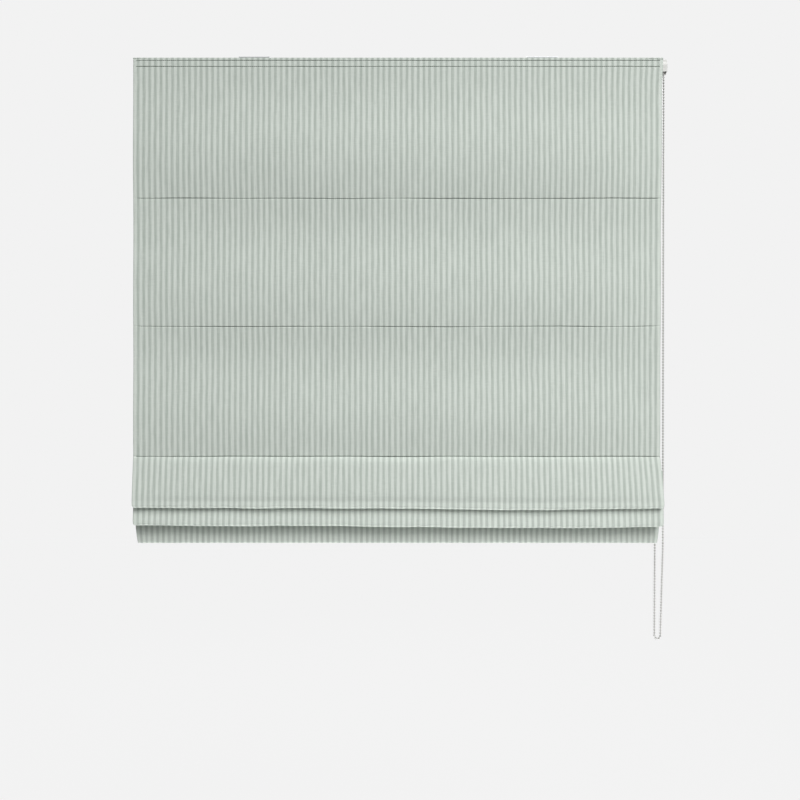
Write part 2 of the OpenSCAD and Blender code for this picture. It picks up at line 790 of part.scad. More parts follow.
// Breakaway toggles under the lowest rings
module cord_toggles() {
  color("white")
    for (x = cord_xs)
      translate([x, cord_y, toggle_top - toggle_length])
        difference() {
          rotate_extrude()
            polygon([[0, 0], [toggle_radius - 1, 0], [toggle_radius, 1.5], [toggle_radius,
              toggle_length - 4], [toggle_radius - 1.4, toggle_length], [0, toggle_length]]);
          translate([0, 0, toggle_length / 2 - 1])
            cylinder(d = cord_diameter + 0.6, h = toggle_length);
        }
}

headrail();
hook_tape();
loop_tape();
idle_end_cap();
control_housing();
control_cover();
clutch_spring();
chain_wheel();
bead_chain();
drive_shaft();
spool_left();
spool_middle();
spool_right();
cradle_left();
cradle_middle();
cradle_right();
cord_windings();
lift_cord_left();
lift_cord_middle();
lift_cord_right();
cord_grommets();
bracket_left();
bracket_right();
lever_left();
lever_right();
bracket_rivets();
face_cloth();
lining();
rod_1();
rod_2();
rod_3();
rod_4();
rod_5();
rod_caps_1();
rod_caps_2();
rod_caps_3();
rod_caps_4();
rod_caps_5();
rings_1();
rings_2();
rings_3();
rings_4();
rings_5();
hem_bar();
hem_bar_caps();
cord_toggles();
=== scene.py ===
"""Roman blind: cloth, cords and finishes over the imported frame, with a plain studio round it."""

import json
import logging
import math
from dataclasses import dataclass, field
from enum import Enum
from typing import Sequence

import bpy
import numpy as np
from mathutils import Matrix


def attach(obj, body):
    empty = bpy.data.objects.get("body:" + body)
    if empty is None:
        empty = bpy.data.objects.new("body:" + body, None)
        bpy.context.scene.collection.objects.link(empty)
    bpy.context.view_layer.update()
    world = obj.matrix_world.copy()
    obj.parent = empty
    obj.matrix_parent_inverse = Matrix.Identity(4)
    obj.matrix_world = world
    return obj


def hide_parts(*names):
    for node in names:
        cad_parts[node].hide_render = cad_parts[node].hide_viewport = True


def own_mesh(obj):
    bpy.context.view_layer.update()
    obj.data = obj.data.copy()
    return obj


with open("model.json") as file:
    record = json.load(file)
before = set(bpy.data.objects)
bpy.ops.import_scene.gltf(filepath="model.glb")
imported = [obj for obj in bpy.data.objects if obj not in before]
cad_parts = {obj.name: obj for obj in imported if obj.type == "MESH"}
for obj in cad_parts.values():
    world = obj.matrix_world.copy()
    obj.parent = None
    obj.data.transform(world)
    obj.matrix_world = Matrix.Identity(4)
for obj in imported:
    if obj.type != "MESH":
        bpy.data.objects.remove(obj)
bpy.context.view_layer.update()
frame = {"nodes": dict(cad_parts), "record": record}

logging.basicConfig(level=logging.INFO, format="%(message)s")
LOG = logging.getLogger("roman_blind")

MM = 0.001
TURN = 2.0 * math.pi
QUARTER = TURN / 4.0
LOOSE_LINE = 4  # number of the third rod line, whose thread is looser at its left end
Point = tuple[float, float, float]
Spot = tuple[float, float]
Colour = tuple[float, float, float, float]


def srgb(red: int, green: int, blue: int) -> Colour:
    """Turns screen values into the linear colour that shaders take.

    Args:
        red: Red, 0 to 255.
        green: Green, 0 to 255.
        blue: Blue, 0 to 255.

    Returns:
        Linear red, green, blue and full alpha.
    """
    def lin(c: float) -> float:
        """Linear value of one channel, which is given as 0 to 255."""
        c /= 255.0
        return c / 12.92 if c <= 0.04045 else ((c + 0.055) / 1.055) ** 2.4

    return (lin(red), lin(green), lin(blue), 1.0)


def smooth_noise(x: np.ndarray, seed: int, cell: float) -> np.ndarray:
    """Smooth random curve of unit size along x.

    Args:
        x: Places in metres.
        seed: Which curve.
        cell: Distance between its random knots in metres.

    Returns:
        Values from about -1 to 1.
    """
    rng = np.random.default_rng(seed)
    knots = rng.uniform(-1.0, 1.0, 4096)
    t = np.asarray(x) / cell + 1000.0
    i = np.floor(t).astype(int)
    f = t - i
    f = f * f * (3.0 - 2.0 * f)
    return knots[i % 4096] * (1.0 - f) + knots[(i + 1) % 4096] * f


@dataclass(frozen=True)
class Sizes:
    """The blind's sizes in millimetres, the same as in the part's source."""

    half_width: float = 550.0
    side_hem: float = 30.0
    face_y: float = -23.7
    face: float = 0.8
    lining_near: float = 0.7
    lining_far: float = 1.3
    z_heading: float = -4.0
    z_seam_1: float = -10.0
    z_seam_2: float = -22.5
    z_rod_1: float = -296.0
    z_rod_2: float = -562.0
    z_rod_3: float = -832.0
    z_fold_1: float = -936.0
    z_fold_2: float = -976.0
    z_hem: float = -1015.0
    fold_1_reach: float = 20.0
    fold_2_reach: float = 6.0
    fold_radius: float = 6.5
    crest_radius: float = 2.0
    crest_4: tuple[float, float] = (-16.1, -863.0)
    crest_5: tuple[float, float] = (-8.7, -879.0)
    hem_front: float = -3.1
    hem_pocket: float = 5.6
    hem_turn: float = 31.0
    rod_y: float = -1.9
    rod_zs: tuple[float, ...] = (-300.0, -566.0, -836.0, -850.0, -864.0)
    pocket: float = 3.1
    cord_y: float = 7.2
    cord_x: float = 420.0
    cord: float = 1.4
    shaft_z: float = -17.1
    cord_end: float = -872.5
    bead_pitch: float = 6.0
    bead: float = 4.5
    bead_neck: float = 1.2
    wheel_x: float = 554.0
    travel: float = 738.0


SIZE = Sizes()


class Hold(Enum):
    """How a sheet is held."""

    HUNG = "hung"
    GATHERED = "gathered"
    FOLDED = "folded"


class Socket:
    """A shader socket that takes part in sums like a number."""

    def __init__(self, graph: "Graph", out: bpy.types.NodeSocket) -> None:
        """Keeps the material graph and the output socket that it stands for."""
        self.graph = graph
        self.out = out

    def __add__(self, other: "Socket | float") -> "Socket":
        """This value plus another."""
        return self.graph.math("ADD", self, other)

    def __radd__(self, other: float) -> "Socket":
        """A number plus this value."""
        return self.graph.math("ADD", other, self)

    def __sub__(self, other: "Socket | float") -> "Socket":
        """This value less another."""
        return self.graph.math("SUBTRACT", self, other)

    def __rsub__(self, other: float) -> "Socket":
        """A number less this value."""
        return self.graph.math("SUBTRACT", other, self)

    def __mul__(self, other: "Socket | float") -> "Socket":
        """This value times another."""
        return self.graph.math("MULTIPLY", self, other)

    def __rmul__(self, other: float) -> "Socket":
        """A number times this value."""
        return self.graph.math("MULTIPLY", other, self)

    def __truediv__(self, other: "Socket | float") -> "Socket":
        """This value over another."""
        return self.graph.math("DIVIDE", self, other)

    def __rtruediv__(self, other: float) -> "Socket":
        """A number over this value."""
        return self.graph.math("DIVIDE", other, self)

    def sin(self) -> "Socket":
        """Sine of the value, in radians."""
        return self.graph.math("SINE", self)

    def smooth(self, low: float, high: float) -> "Socket":
        """Args:
            low: Value that becomes 0.
            high: Value that becomes 1.

        Returns:
            A soft step between the two.
        """
        node = self.graph.add("ShaderNodeMapRange", {"Value": self, "From Min": low, "From Max": high},
                              interpolation_type="SMOOTHSTEP")
        return Socket(self.graph, node.outputs["Result"])


class Graph:
    """A material under construction."""

    def __init__(self, name: str) -> None:
        """Starts a material.

        Args:
            name: The material's name.
        """
        self.material = bpy.data.materials.new(name)
        self.material.use_nodes = True
        self.tree = self.material.node_tree
        self.bsdf = self.tree.nodes["Principled BSDF"]

    def add(self, kind: str, inputs: dict[str | int, object], **props: object) -> bpy.types.Node:
        """Adds a node of any kind.

        Args:
            kind: The node's type name.
            inputs: Values or sockets for its inputs, by name or number.
            **props: Settings on the node itself.

        Returns:
            The new node.
        """
        node = self.tree.nodes.new(kind)
        for key, value in props.items():
            setattr(node, key, value)
        for key, value in inputs.items():
            self.link(node.inputs[key], value)
        return node

    def link(self, target: bpy.types.NodeSocket, value: object) -> None:
        """Feeds an input.

        Args:
            target: The input socket.
            value: A socket, or a constant set on the input itself.
        """
        if isinstance(value, Socket):
            self.tree.links.new(value.out, target)
        else:
            target.default_value = value

    def math(self, operation: str, a: object, b: object = 0.0) -> Socket:
        """Result of a sum on one or two values, named as the math node names it."""
        node = self.add("ShaderNodeMath", {0: a, 1: b}, operation=operation)
        return Socket(self, node.outputs[0])

    def place(self, uv: str | None = None) -> Socket:
        """Args:
            uv: Name of the piece's own map, or None for object space.

        Returns:
            The place on the surface, in metres.
        """
        if uv is None:
            return Socket(self, self.add("ShaderNodeTexCoord", {}).outputs["Object"])
        return Socket(self, self.add("ShaderNodeUVMap", {}, uv_map=uv).outputs["UV"])

    def split(self, vector: Socket) -> tuple[Socket, Socket, Socket]:
        """The three parts of a place."""
        node = self.add("ShaderNodeSeparateXYZ", {0: vector})
        return tuple(Socket(self, node.outputs[i]) for i in range(3))

    def stretch(self, vector: Socket, scale: Point) -> Socket:
        """A place scaled along the three axes."""
        return Socket(self, self.add("ShaderNodeMapping", {"Vector": vector, "Scale": scale}).outputs[0])

    def noise(self, vector: Socket, scale: float, detail: float = 2.0) -> Socket:
        """Noise from 0 to 1 at a place, with a fineness and a number of finer layers."""
        node = self.add("ShaderNodeTexNoise", {"Vector": vector, "Scale": scale, "Detail": detail})
        return Socket(self, node.outputs[0])

    def mix(self, share: object, a: object, b: object) -> Socket:
        """Args:
            share: 0 for a, 1 for b.
            a: First colour.
            b: Second colour.

        Returns:
            The mixed colour.
        """
        node = self.add("ShaderNodeMix", {}, data_type="RGBA")
        self.link(node.inputs[0], share)
        self.link(node.inputs[6], a)
        self.link(node.inputs[7], b)
        return Socket(self, node.outputs[2])

    def bump(self, height: Socket, depth: float, strength: float = 1.0) -> Socket:
        """Normal bent by a relief of the given depth in metres, of which a share shows."""
        node = self.add("ShaderNodeBump", {"Height": height, "Distance": depth, "Strength": strength})
        return Socket(self, node.outputs[0])

    def surface(self, **values: object) -> bpy.types.Material:
        """Sets the surface's inputs.

        Args:
            **values: Inputs by name, with underscores for spaces.

        Returns:
            The finished material.
        """
        for key, value in values.items():
            self.link(self.bsdf.inputs[key.replace("_", " ")], value)
        return self.material


@dataclass(frozen=True)
class TickingCloth:
    """Woven cotton with fine upright ticking stripes."""

    light: Colour = srgb(210, 217, 210)
    dark: Colour = srgb(171, 180, 172)
    period: float = 0.01186
    wander: float = 0.0007
    heather: float = 1.1
    warp: float = 0.00062
    weft: float = 0.00074

    def make(self) -> bpy.types.Material:
        """Returns:
            The cloth's material, on its own map: x across and length along.
        """
        g = Graph("ticking_cloth")
        uv = g.place("cloth")
        x, along, _ = g.split(uv)
        fibre = g.noise(g.stretch(uv, (1.0, 0.08, 1.0)), 1400.0, 3.0)
        slub = g.noise(g.stretch(uv, (1.0, 0.05, 1.0)), 430.0, 2.0)
        cross = g.noise(g.stretch(uv, (0.12, 1.0, 1.0)), 480.0, 2.0)
        each = g.noise(g.stretch(uv, (1.0, 0.03, 1.0)), 95.0, 1.0)
        drift = g.noise(uv, 9.0, 2.0)
        place = x + (g.noise(g.stretch(uv, (1.0, 0.4, 1.0)), 26.0, 2.0) - 0.5) * self.wander * 2.0
        wave = ((place / self.period) * TURN + QUARTER).sin()
        edge = wave + (fibre - 0.5) * 0.7 + (slub - 0.5) * 0.5 + (each - 0.5) * 0.9
        stripe = 1.0 - edge.smooth(-0.95, 0.85)
        tone = stripe * 0.72 + 0.12 + (slub - 0.5) * self.heather + (cross - 0.5) * self.heather * 0.35
        tone = tone + (fibre - 0.5) * 0.5 + (drift - 0.5) * 0.14 + (each - 0.5) * 0.2
        colour = g.mix(tone.smooth(-0.1, 1.1), self.light, self.dark)
        warp = ((x / self.warp) * TURN).sin()
        weft = ((along / self.weft) * TURN).sin()
        relief = warp * 0.3 + weft * 0.3 + fibre * 0.5 + slub * 0.7 + cross * 0.5
        return g.surface(Base_Color=colour, Roughness=0.9, Specular_IOR_Level=0.25, Sheen_Weight=0.15,
                         Sheen_Roughness=0.5, Normal=g.bump(relief, 0.00022, 0.6))


@dataclass(frozen=True)
class PlainCloth:
    """Plain woven cloth in one colour."""

    name: str
    colour: Colour
    shade: Colour
    thread: float = 0.0006

    def make(self) -> bpy.types.Material:
        """Returns:
            The cloth's material.
        """
        g = Graph(self.name)
        at = g.place()
        x, y, z = g.split(at)
        fibre = g.noise(g.stretch(at, (1.0, 1.0, 0.15)), 1300.0, 3.0)
        cross = g.noise(g.stretch(at, (0.12, 1.0, 1.0)), 1200.0, 2.0)
        drift = g.noise(at, 12.0, 2.0)
        share = (fibre * 0.5 + cross * 0.4 + drift * 0.15).smooth(0.25, 0.85)
        warp = ((x / self.thread) * TURN).sin()
        weft = (((y + z) / self.thread) * TURN).sin()
        relief = (warp + weft) * 0.25 + fibre
        return g.surface(Base_Color=g.mix(share, self.colour, self.shade), Roughness=0.92,
                         Specular_IOR_Level=0.2, Normal=g.bump(relief, 0.00015, 0.5))


@dataclass(frozen=True)
class Moulded:
    """Moulded plastic with a faint grain."""

    name: str
    colour: Colour
    rough: float = 0.42
    coat: float = 0.0

    def make(self) -> bpy.types.Material:
        """Returns:
            The plastic's material.
        """
        g = Graph(self.name)
        at = g.place()
        grain = g.noise(at, 2600.0, 2.0)
        cloud = g.noise(at, 60.0, 3.0)
        darker = tuple(c * 0.9 for c in self.colour[:3]) + (1.0,)
        rough = cloud * 0.12 + (self.rough - 0.06)
        return g.surface(Base_Color=g.mix(cloud.smooth(0.35, 0.8), self.colour, darker), Roughness=rough,
                         Coat_Weight=self.coat, Normal=g.bump(grain, 0.00004, 0.4))


@dataclass(frozen=True)
class Metal:
    """Bare or coated metal with fine drawn lines."""

    name: str
    colour: Colour
    metallic: float
    rough: float
    lines: float = 1.0

    def make(self) -> bpy.types.Material:
        """Returns:
            The metal's material.
        """
        g = Graph(self.name)
        at = g.place()
        drawn = g.noise(g.stretch(at, (0.02, 1.0, 1.0)), 1800.0, 3.0)
        cloud = g.noise(at, 40.0, 3.0)
        darker = tuple(c * 0.95 for c in self.colour[:3]) + (1.0,)
        rough = drawn * 0.16 * self.lines + cloud * 0.08 + (self.rough - 0.1)
        return g.surface(Base_Color=g.mix(cloud.smooth(0.3, 0.8), self.colour, darker), Roughness=rough,
                         Metallic=self.metallic, Normal=g.bump(drawn, 0.00003, 0.3 * self.lines))


@dataclass(frozen=True)
class Braid:
    """Braided cord or twisted thread, with the width and the length of one strand's crossing, and painted
    shade in the grooves between strands.
    """

    name: str
    colour: Colour
    # shade: painted shade colour for the grooves between strands.
    shade: Colour
    strand: float = 0.0007
    lay: float = 0.0011

    def make(self) -> bpy.types.Material:
        """Returns:
            The braid's material.
        """
        g = Graph(self.name)
        at = g.place()
        x, y, z = g.split(at)
        round_it, along = (x + y) / self.strand, z / self.lay
        weave = ((round_it + along) * TURN).sin() * ((round_it - along) * TURN).sin()
        # Where the weave's relief is lowest, in the grooves between strands, the colour turns to the shade
        # colour: painted shade.
        return g.surface(Base_Color=g.mix(weave.smooth(-1.0, 0.6), self.shade, self.colour), Roughness=0.8,
                         Specular_IOR_Level=0.3, Normal=g.bump(weave, 0.00008, 0.5))


@dataclass(frozen=True)
class Pile:
    """Hook or loop tape, with painted shade in the hollows of its pile."""

    name: str
    colour: Colour

    def make(self) -> bpy.types.Material:
        """Returns:
            The tape's material.
        """
        g = Graph(self.name)
        at = g.place()
        fuzz = g.noise(at, 1700.0, 4.0)
        # The darker tone sits where the pile's relief is lowest: painted shade in its hollows.
        darker = tuple(c * 0.8 for c in self.colour[:3]) + (1.0,)
        return g.surface(Base_Color=g.mix(fuzz.smooth(0.3, 0.7), darker, self.colour), Roughness=0.95,
                         Normal=g.bump(fuzz, 0.0004, 0.7))


class Palette:
    """All finishes, made once."""

    def __init__(self) -> None:
        """Makes every material."""
        self.face = TickingCloth().make()
        self.lining = PlainCloth("lining_cloth", srgb(236, 233, 224), srgb(214, 210, 199)).make()
        # The second colour of each braid is its painted shade in the grooves between strands.
        self.thread = Braid("sewing_thread", srgb(100, 109, 101), srgb(64, 72, 66)).make()
        self.cord = Braid("lift_cord_braid", srgb(240, 239, 234), srgb(205, 203, 196)).make()
        self.white = Moulded("white_plastic", srgb(200, 200, 197)).make()
        self.grey = Moulded("grey_plastic", srgb(186, 188, 190)).make()
        self.bead = Moulded("bead_plastic", srgb(174, 174, 171), 0.3, 0.2).make()
        self.rod = Moulded("glass_fibre", srgb(236, 235, 228), 0.5).make()
        self.rail = Metal("coated_aluminium", srgb(236, 236, 234), 0.0, 0.42, 0.3).make()
        self.bar = Metal("mill_aluminium", srgb(205, 206, 207), 1.0, 0.38).make()
        self.steel = Metal("plated_steel", srgb(190, 192, 194), 1.0, 0.32).make()
        self.tape = Pile("hook_and_loop", srgb(236, 236, 232)).make()


def mesh_piece(name: str, verts: np.ndarray, faces: Sequence[Sequence[int]], material: bpy.types.Material,
               uv: np.ndarray | None = None) -> bpy.types.Object:
    """Makes a smooth mesh object at the origin.

    Args:
        name: The piece's name.
        verts: Places in metres.
        faces: Corner numbers of each face.
        material: Its finish.
        uv: Map coordinates of each vertex, if it has a map.

    Returns:
        The new object.
    """
    mesh = bpy.data.meshes.new(name)
    mesh.from_pydata([tuple(v) for v in verts], [], [tuple(f) for f in faces])
    if uv is not None:
        layer = mesh.uv_layers.new(name="cloth")
        corners = np.empty(len(mesh.loops), dtype=np.int32)
        mesh.loops.foreach_get("vertex_index", corners)
        layer.data.foreach_set("uv", uv[corners].astype(np.float32).ravel())
    mesh.polygons.foreach_set("use_smooth", [True] * len(mesh.polygons))
    mesh.materials.append(material)
    mesh.update()
    piece = bpy.data.objects.new(name, mesh)
    bpy.context.scene.collection.objects.link(piece)
    LOG.info("piece %s: %d vertices", name, len(verts))
    return piece


def grid_faces(rows: int, cols: int) -> list[tuple[int, int, int, int]]:
    """The quads between rows and columns of vertices."""
    return [(r * cols + c, (r + 1) * cols + c, (r + 1) * cols + c + 1, r * cols + c + 1)
            for r in range(rows - 1) for c in range(cols - 1)]


def tube_faces(base: int, rings: int, sides: int) -> list[tuple[int, ...]]:
    """Args:
        base: Number of the tube's first vertex.
        rings: Rings of vertices along it.
        sides: Vertices in each ring.

    Returns:
        Its side faces and its two end caps.
    """
    faces: list[tuple[int, ...]] = []
    for i in range(rings - 1):
        p, n = base + i * sides, base + (i + 1) * sides
        faces += [(p + j, p + (j + 1) % sides, n + (j + 1) % sides, n + j) for j in range(sides)]
    faces.append(tuple(base + j for j in reversed(range(sides))))
    faces.append(tuple(base + (rings - 1) * sides + j for j in range(sides)))
    return faces


def gather(piece: bpy.types.Object) -> None:
    """Ties a hanging piece to the headrail and gives it a mesh of its own.

    Args:
        piece: The piece.
    """
    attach(piece, "headrail")
    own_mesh(piece)


def thicken(piece: bpy.types.Object, thickness: float) -> None:
    """Gives a sheet its cloth thickness, behind the surface it was laid out as.

    Args:
        piece: The sheet.
        thickness: Thickness in metres.
    """
    solid = piece.modifiers.new("thickness", "SOLIDIFY")
    solid.thickness = thickness
    solid.offset = -1.0
    solid.use_even_offset = False


@dataclass
class Route:
    """A line in the side view that a sheet follows.

    Attributes:
        points: Places (y, z) in millimetres.
        slack: For each point, how much of the first and of the second fold's slack it takes, 0 to 1.
        belly: How far down the first fold's front each point is, 0 to 1.
        waist: How far the right edge is drawn in at each point, in millimetres.
        corner: How near each point is to a rounded lower corner, 0 to 1.
    """

    points: np.ndarray
    slack: np.ndarray
    belly: np.ndarray
    waist: np.ndarray
    corner: np.ndarray

    @classmethod
    def plain(cls, points: Sequence[Spot]) -> "Route":
        """A line through (y, z) places with no slack, belly, waist or rounded corners."""
        n = len(points)
        return cls(np.array(points), np.zeros((n, 2)), np.zeros(n), np.zeros(n), np.zeros(n))

    def normals(self) -> np.ndarray:
        """Returns:
            Unit normals towards the lining, one for each point.
        """
        step = np.gradient(self.points, axis=0)
        step /= np.linalg.norm(step, axis=1)[:, None]
        return np.stack([-step[:, 1], step[:, 0]], axis=1)

    def lengths(self) -> np.ndarray:
        """Distance along the line to each point, in millimetres."""
        return np.concatenate([[0.0], np.cumsum(np.linalg.norm(np.diff(self.points, axis=0), axis=1))])

    def part(self, first: int, last: int) -> "Route":
        """The stretch of the line from one point up to, not including, another."""
        cut = slice(first, last)
        return Route(self.points[cut], self.slack[cut], self.belly[cut], self.waist[cut], self.corner[cut])


def arc(centre: Spot, radius: float, first: float, last: float, count: int) -> list[Spot]:
    """Points round a bend from one angle to another in degrees, in count steps."""
    angles = np.radians(np.linspace(first, last, count + 1))
    return [(centre[0] + radius * math.cos(a), centre[1] + radius * math.sin(a)) for a in angles]


def straight(a: Spot, b: Spot, step: float) -> list[Spot]:
    """Points strictly between two ends, no further apart than the step."""
    n = max(1, math.ceil(math.dist(a, b) / step))
    return [(a[0] + (b[0] - a[0]) * k / n, a[1] + (b[1] - a[1]) * k / n) for k in range(1, n)]


def bearing(a: Spot, b: Spot) -> float:
    """Direction from one place to another, in degrees."""
    return math.degrees(math.atan2(b[1] - a[1], b[0] - a[0]))


def tangent(radius: float, a: Spot, b: Spot) -> float:
    """Angle in degrees from the line of two bends' middles to where a line touches, by radius."""
    return math.degrees(math.acos(radius / math.dist(a, b)))


@dataclass(frozen=True)
class ClothLine:
    """The face cloth's line in the side view: heading, panels, folds and hem, in millimetres.

    Attributes:
        crease: Distances of the close rows from a stitched line.
        slim: How much tighter the folds turn than in the part's source.
        waist: Distance below the top, and how far the right edge is drawn in there.
        hem_waist: How far the right edge of the hem is drawn in.
        hem_gap: How far the hem's straight front reaches above its turned edge.
        hem_taper: Height over which the hem is drawn in.
        hem_corner: Height of the hem's rounded lower corners.
        lean: Slope of the cloth just below the third rod.
        step: Largest distance between points on the straights.
        heading_bend: Radius of the turned top edge.
        heading_turn: How far the turned edge hangs down behind.
    """

    crease: tuple[float, ...] = (-9.0, -6.0, -4.0, -2.8, -2.0, -1.4, -1.0, -0.7, -0.45, -0.2, 0.0,
                                 0.2, 0.45, 0.7, 1.0, 1.4, 2.0, 2.8, 4.0, 6.0, 9.0)
    slim: float = 1.5
    waist: tuple[Spot, ...] = ((22.5, 0.0), (60.0, 2.5), (280.0, 4.0), (507.0, 5.0), (832.0, 6.5))
    hem_waist: float = 3.5
    hem_gap: float = 3.0
    hem_taper: float = 40.0
    hem_corner: float = 32.0
    lean: float = 0.09
    step: float = 5.0
    heading_bend: float = 0.45
    heading_turn: float = 4.4

    def hem_top(self) -> Spot:
        """Where the hem's straight front begins."""
        return (SIZE.hem_front, SIZE.z_hem + SIZE.hem_turn + self.hem_gap)

    def levels(self, top: float, bottom: float, seams: Sequence[float], panels: int) -> list[float]:
        """Args:
            top: Upper end.
            bottom: Lower end.
            seams: Heights of stitched lines, which get close rows.
            panels: Rows from one stitched line to the next.

        Returns:
            Heights of the rows from the top down.
        """
        found = {round(z + d, 3) for z in seams for d in self.crease}
        for a, b in zip(seams[:-1], seams[1:]):
            found |= {round(a + (b - a) * k / panels, 3) for k in range(1, panels)}
        return sorted((z for z in found if bottom <= z <= top), reverse=True)

    def heading(self) -> Route:
        """Returns:
            The line from the turned top edge to the second heading seam.
        """
        s = SIZE
        bend = self.heading_bend
        top = s.z_heading - bend - s.face / 2
        pts = [(s.face_y + 2 * bend, s.z_heading - self.heading_turn)]
        pts += arc((s.face_y + bend, top), bend, 0, 180, 8)
        pts += [(s.face_y, z) for z in self.levels(top - 0.3, s.z_seam_2, (s.z_seam_1, s.z_seam_2), 6)]
        return Route.plain(pts)

    def panel(self) -> Route:
        """Returns:
            The line from the second heading seam down to the third rod.
        """
        s = SIZE
        seams = (s.z_seam_2, s.z_rod_1, s.z_rod_2, s.z_rod_3)
        pts = [(s.face_y, z) for z in self.levels(s.z_seam_2, s.z_rod_3, seams, 26)]
        route = Route.plain(pts)
        heights, drawn = zip(*self.waist)
        route.waist = np.interp(-route.points[:, 1], heights, drawn)
        return route

    def folds(self) -> Route:
        """Returns:
            The line from the third rod through both folds and round the hem.
        """
        s = SIZE
        r, q = s.fold_radius - self.slim, s.crest_radius
        low_1 = (s.face_y - s.fold_1_reach + r, s.z_fold_1 + r + s.face / 2)
        low_2 = (s.face_y - s.fold_2_reach + r, s.z_fold_2 + r + s.face / 2)
        top_4 = (s.crest_4[0], s.crest_4[1] - q)
        top_5 = (s.crest_5[0], s.crest_5[1] - q)
        start = (s.face_y, s.z_rod_3)
        hem_r = s.hem_pocket / 2
        hem_top = self.hem_top()
        hem_mid = (s.hem_front + hem_r, s.z_hem + hem_r + s.face / 2)
        first_1 = bearing(low_1, start) + tangent(r, low_1, start)
        last_1 = bearing(low_1, top_4) - tangent(r + q, low_1, top_4)
        first_2 = bearing(low_2, top_4) + tangent(r + q, low_2, top_4)
        last_2 = bearing(low_2, top_5) - tangent(r + q, low_2, top_5)
        last_5 = bearing(top_5, hem_top) + tangent(q, top_5, hem_top)
        stretches = [
            [(s.face_y - self.lean * d, s.z_rod_3 - d) for d in self.crease if 0.0 <= d < 7.0],
            arc(low_1, r, first_1, last_1 + 360, 24), arc(top_4, q, last_1 + 180, first_2 - 180, 10),
            arc(low_2, r, first_2, last_2 + 360, 24), arc(top_5, q, last_2 + 180, last_5, 10),
            [hem_top, (s.hem_front, hem_mid[1] + 12.0)], arc(hem_mid, hem_r, 180, 360, 14),
            [(s.hem_front + s.hem_pocket, s.z_hem + s.hem_turn)]]
        tops = (s.z_rod_3, s.crest_4[1], s.crest_5[1])
        pts: list[Spot] = list(stretches[0])
        fold = [0] * len(pts)
        for k, stretch in enumerate(stretches[1:]):
            leg = straight(pts[-1], stretch[0], self.step)
            pts += leg + stretch
            fold += [(0, 0, 1, 1, 2, 2, 2)[k]] * len(leg) + [(0, 1, 1, 2, 2, 2, 2)[k]] * len(stretch)
        route = Route.plain(pts)
        turn = [max(i for i, f in enumerate(fold) if f == n) for n in (0, 1)]
        for n, low in enumerate((s.z_fold_1, s.z_fold_2)):
            first = 0 if n == 0 else turn[0]
            own = [i for i in range(first, turn[n] + 1) if fold[i] == n]
            bottom = min(own, key=lambda i: pts[i][1])
            for i in own:
                top = tops[n] if i <= bottom else tops[n + 1]
                route.slack[i, n] = min(max((top - pts[i][1]) / (top - low), 0.0), 1.0)
            if n == 0:
                route.belly[:bottom] = route.slack[:bottom, 0]
                route.waist[:bottom] = self.waist[-1][1] * (1.0 - route.slack[:bottom, 0])
        z = route.points[:, 1]
        hem = np.arange(len(pts)) > turn[1]
        route.waist[hem] = self.hem_waist * np.clip((s.crest_5[1] - z[hem]) / self.hem_taper, 0.0, 1.0)
        low = np.clip((s.z_hem + self.hem_corner - z) / self.hem_corner, 0.0, 1.0) * hem
        turned = np.clip((route.slack.max(1) - 0.9) / 0.1, 0.0, 1.0)
        route.corner = np.maximum(turned ** 2, 1.5 * low ** 1.3)
        return route


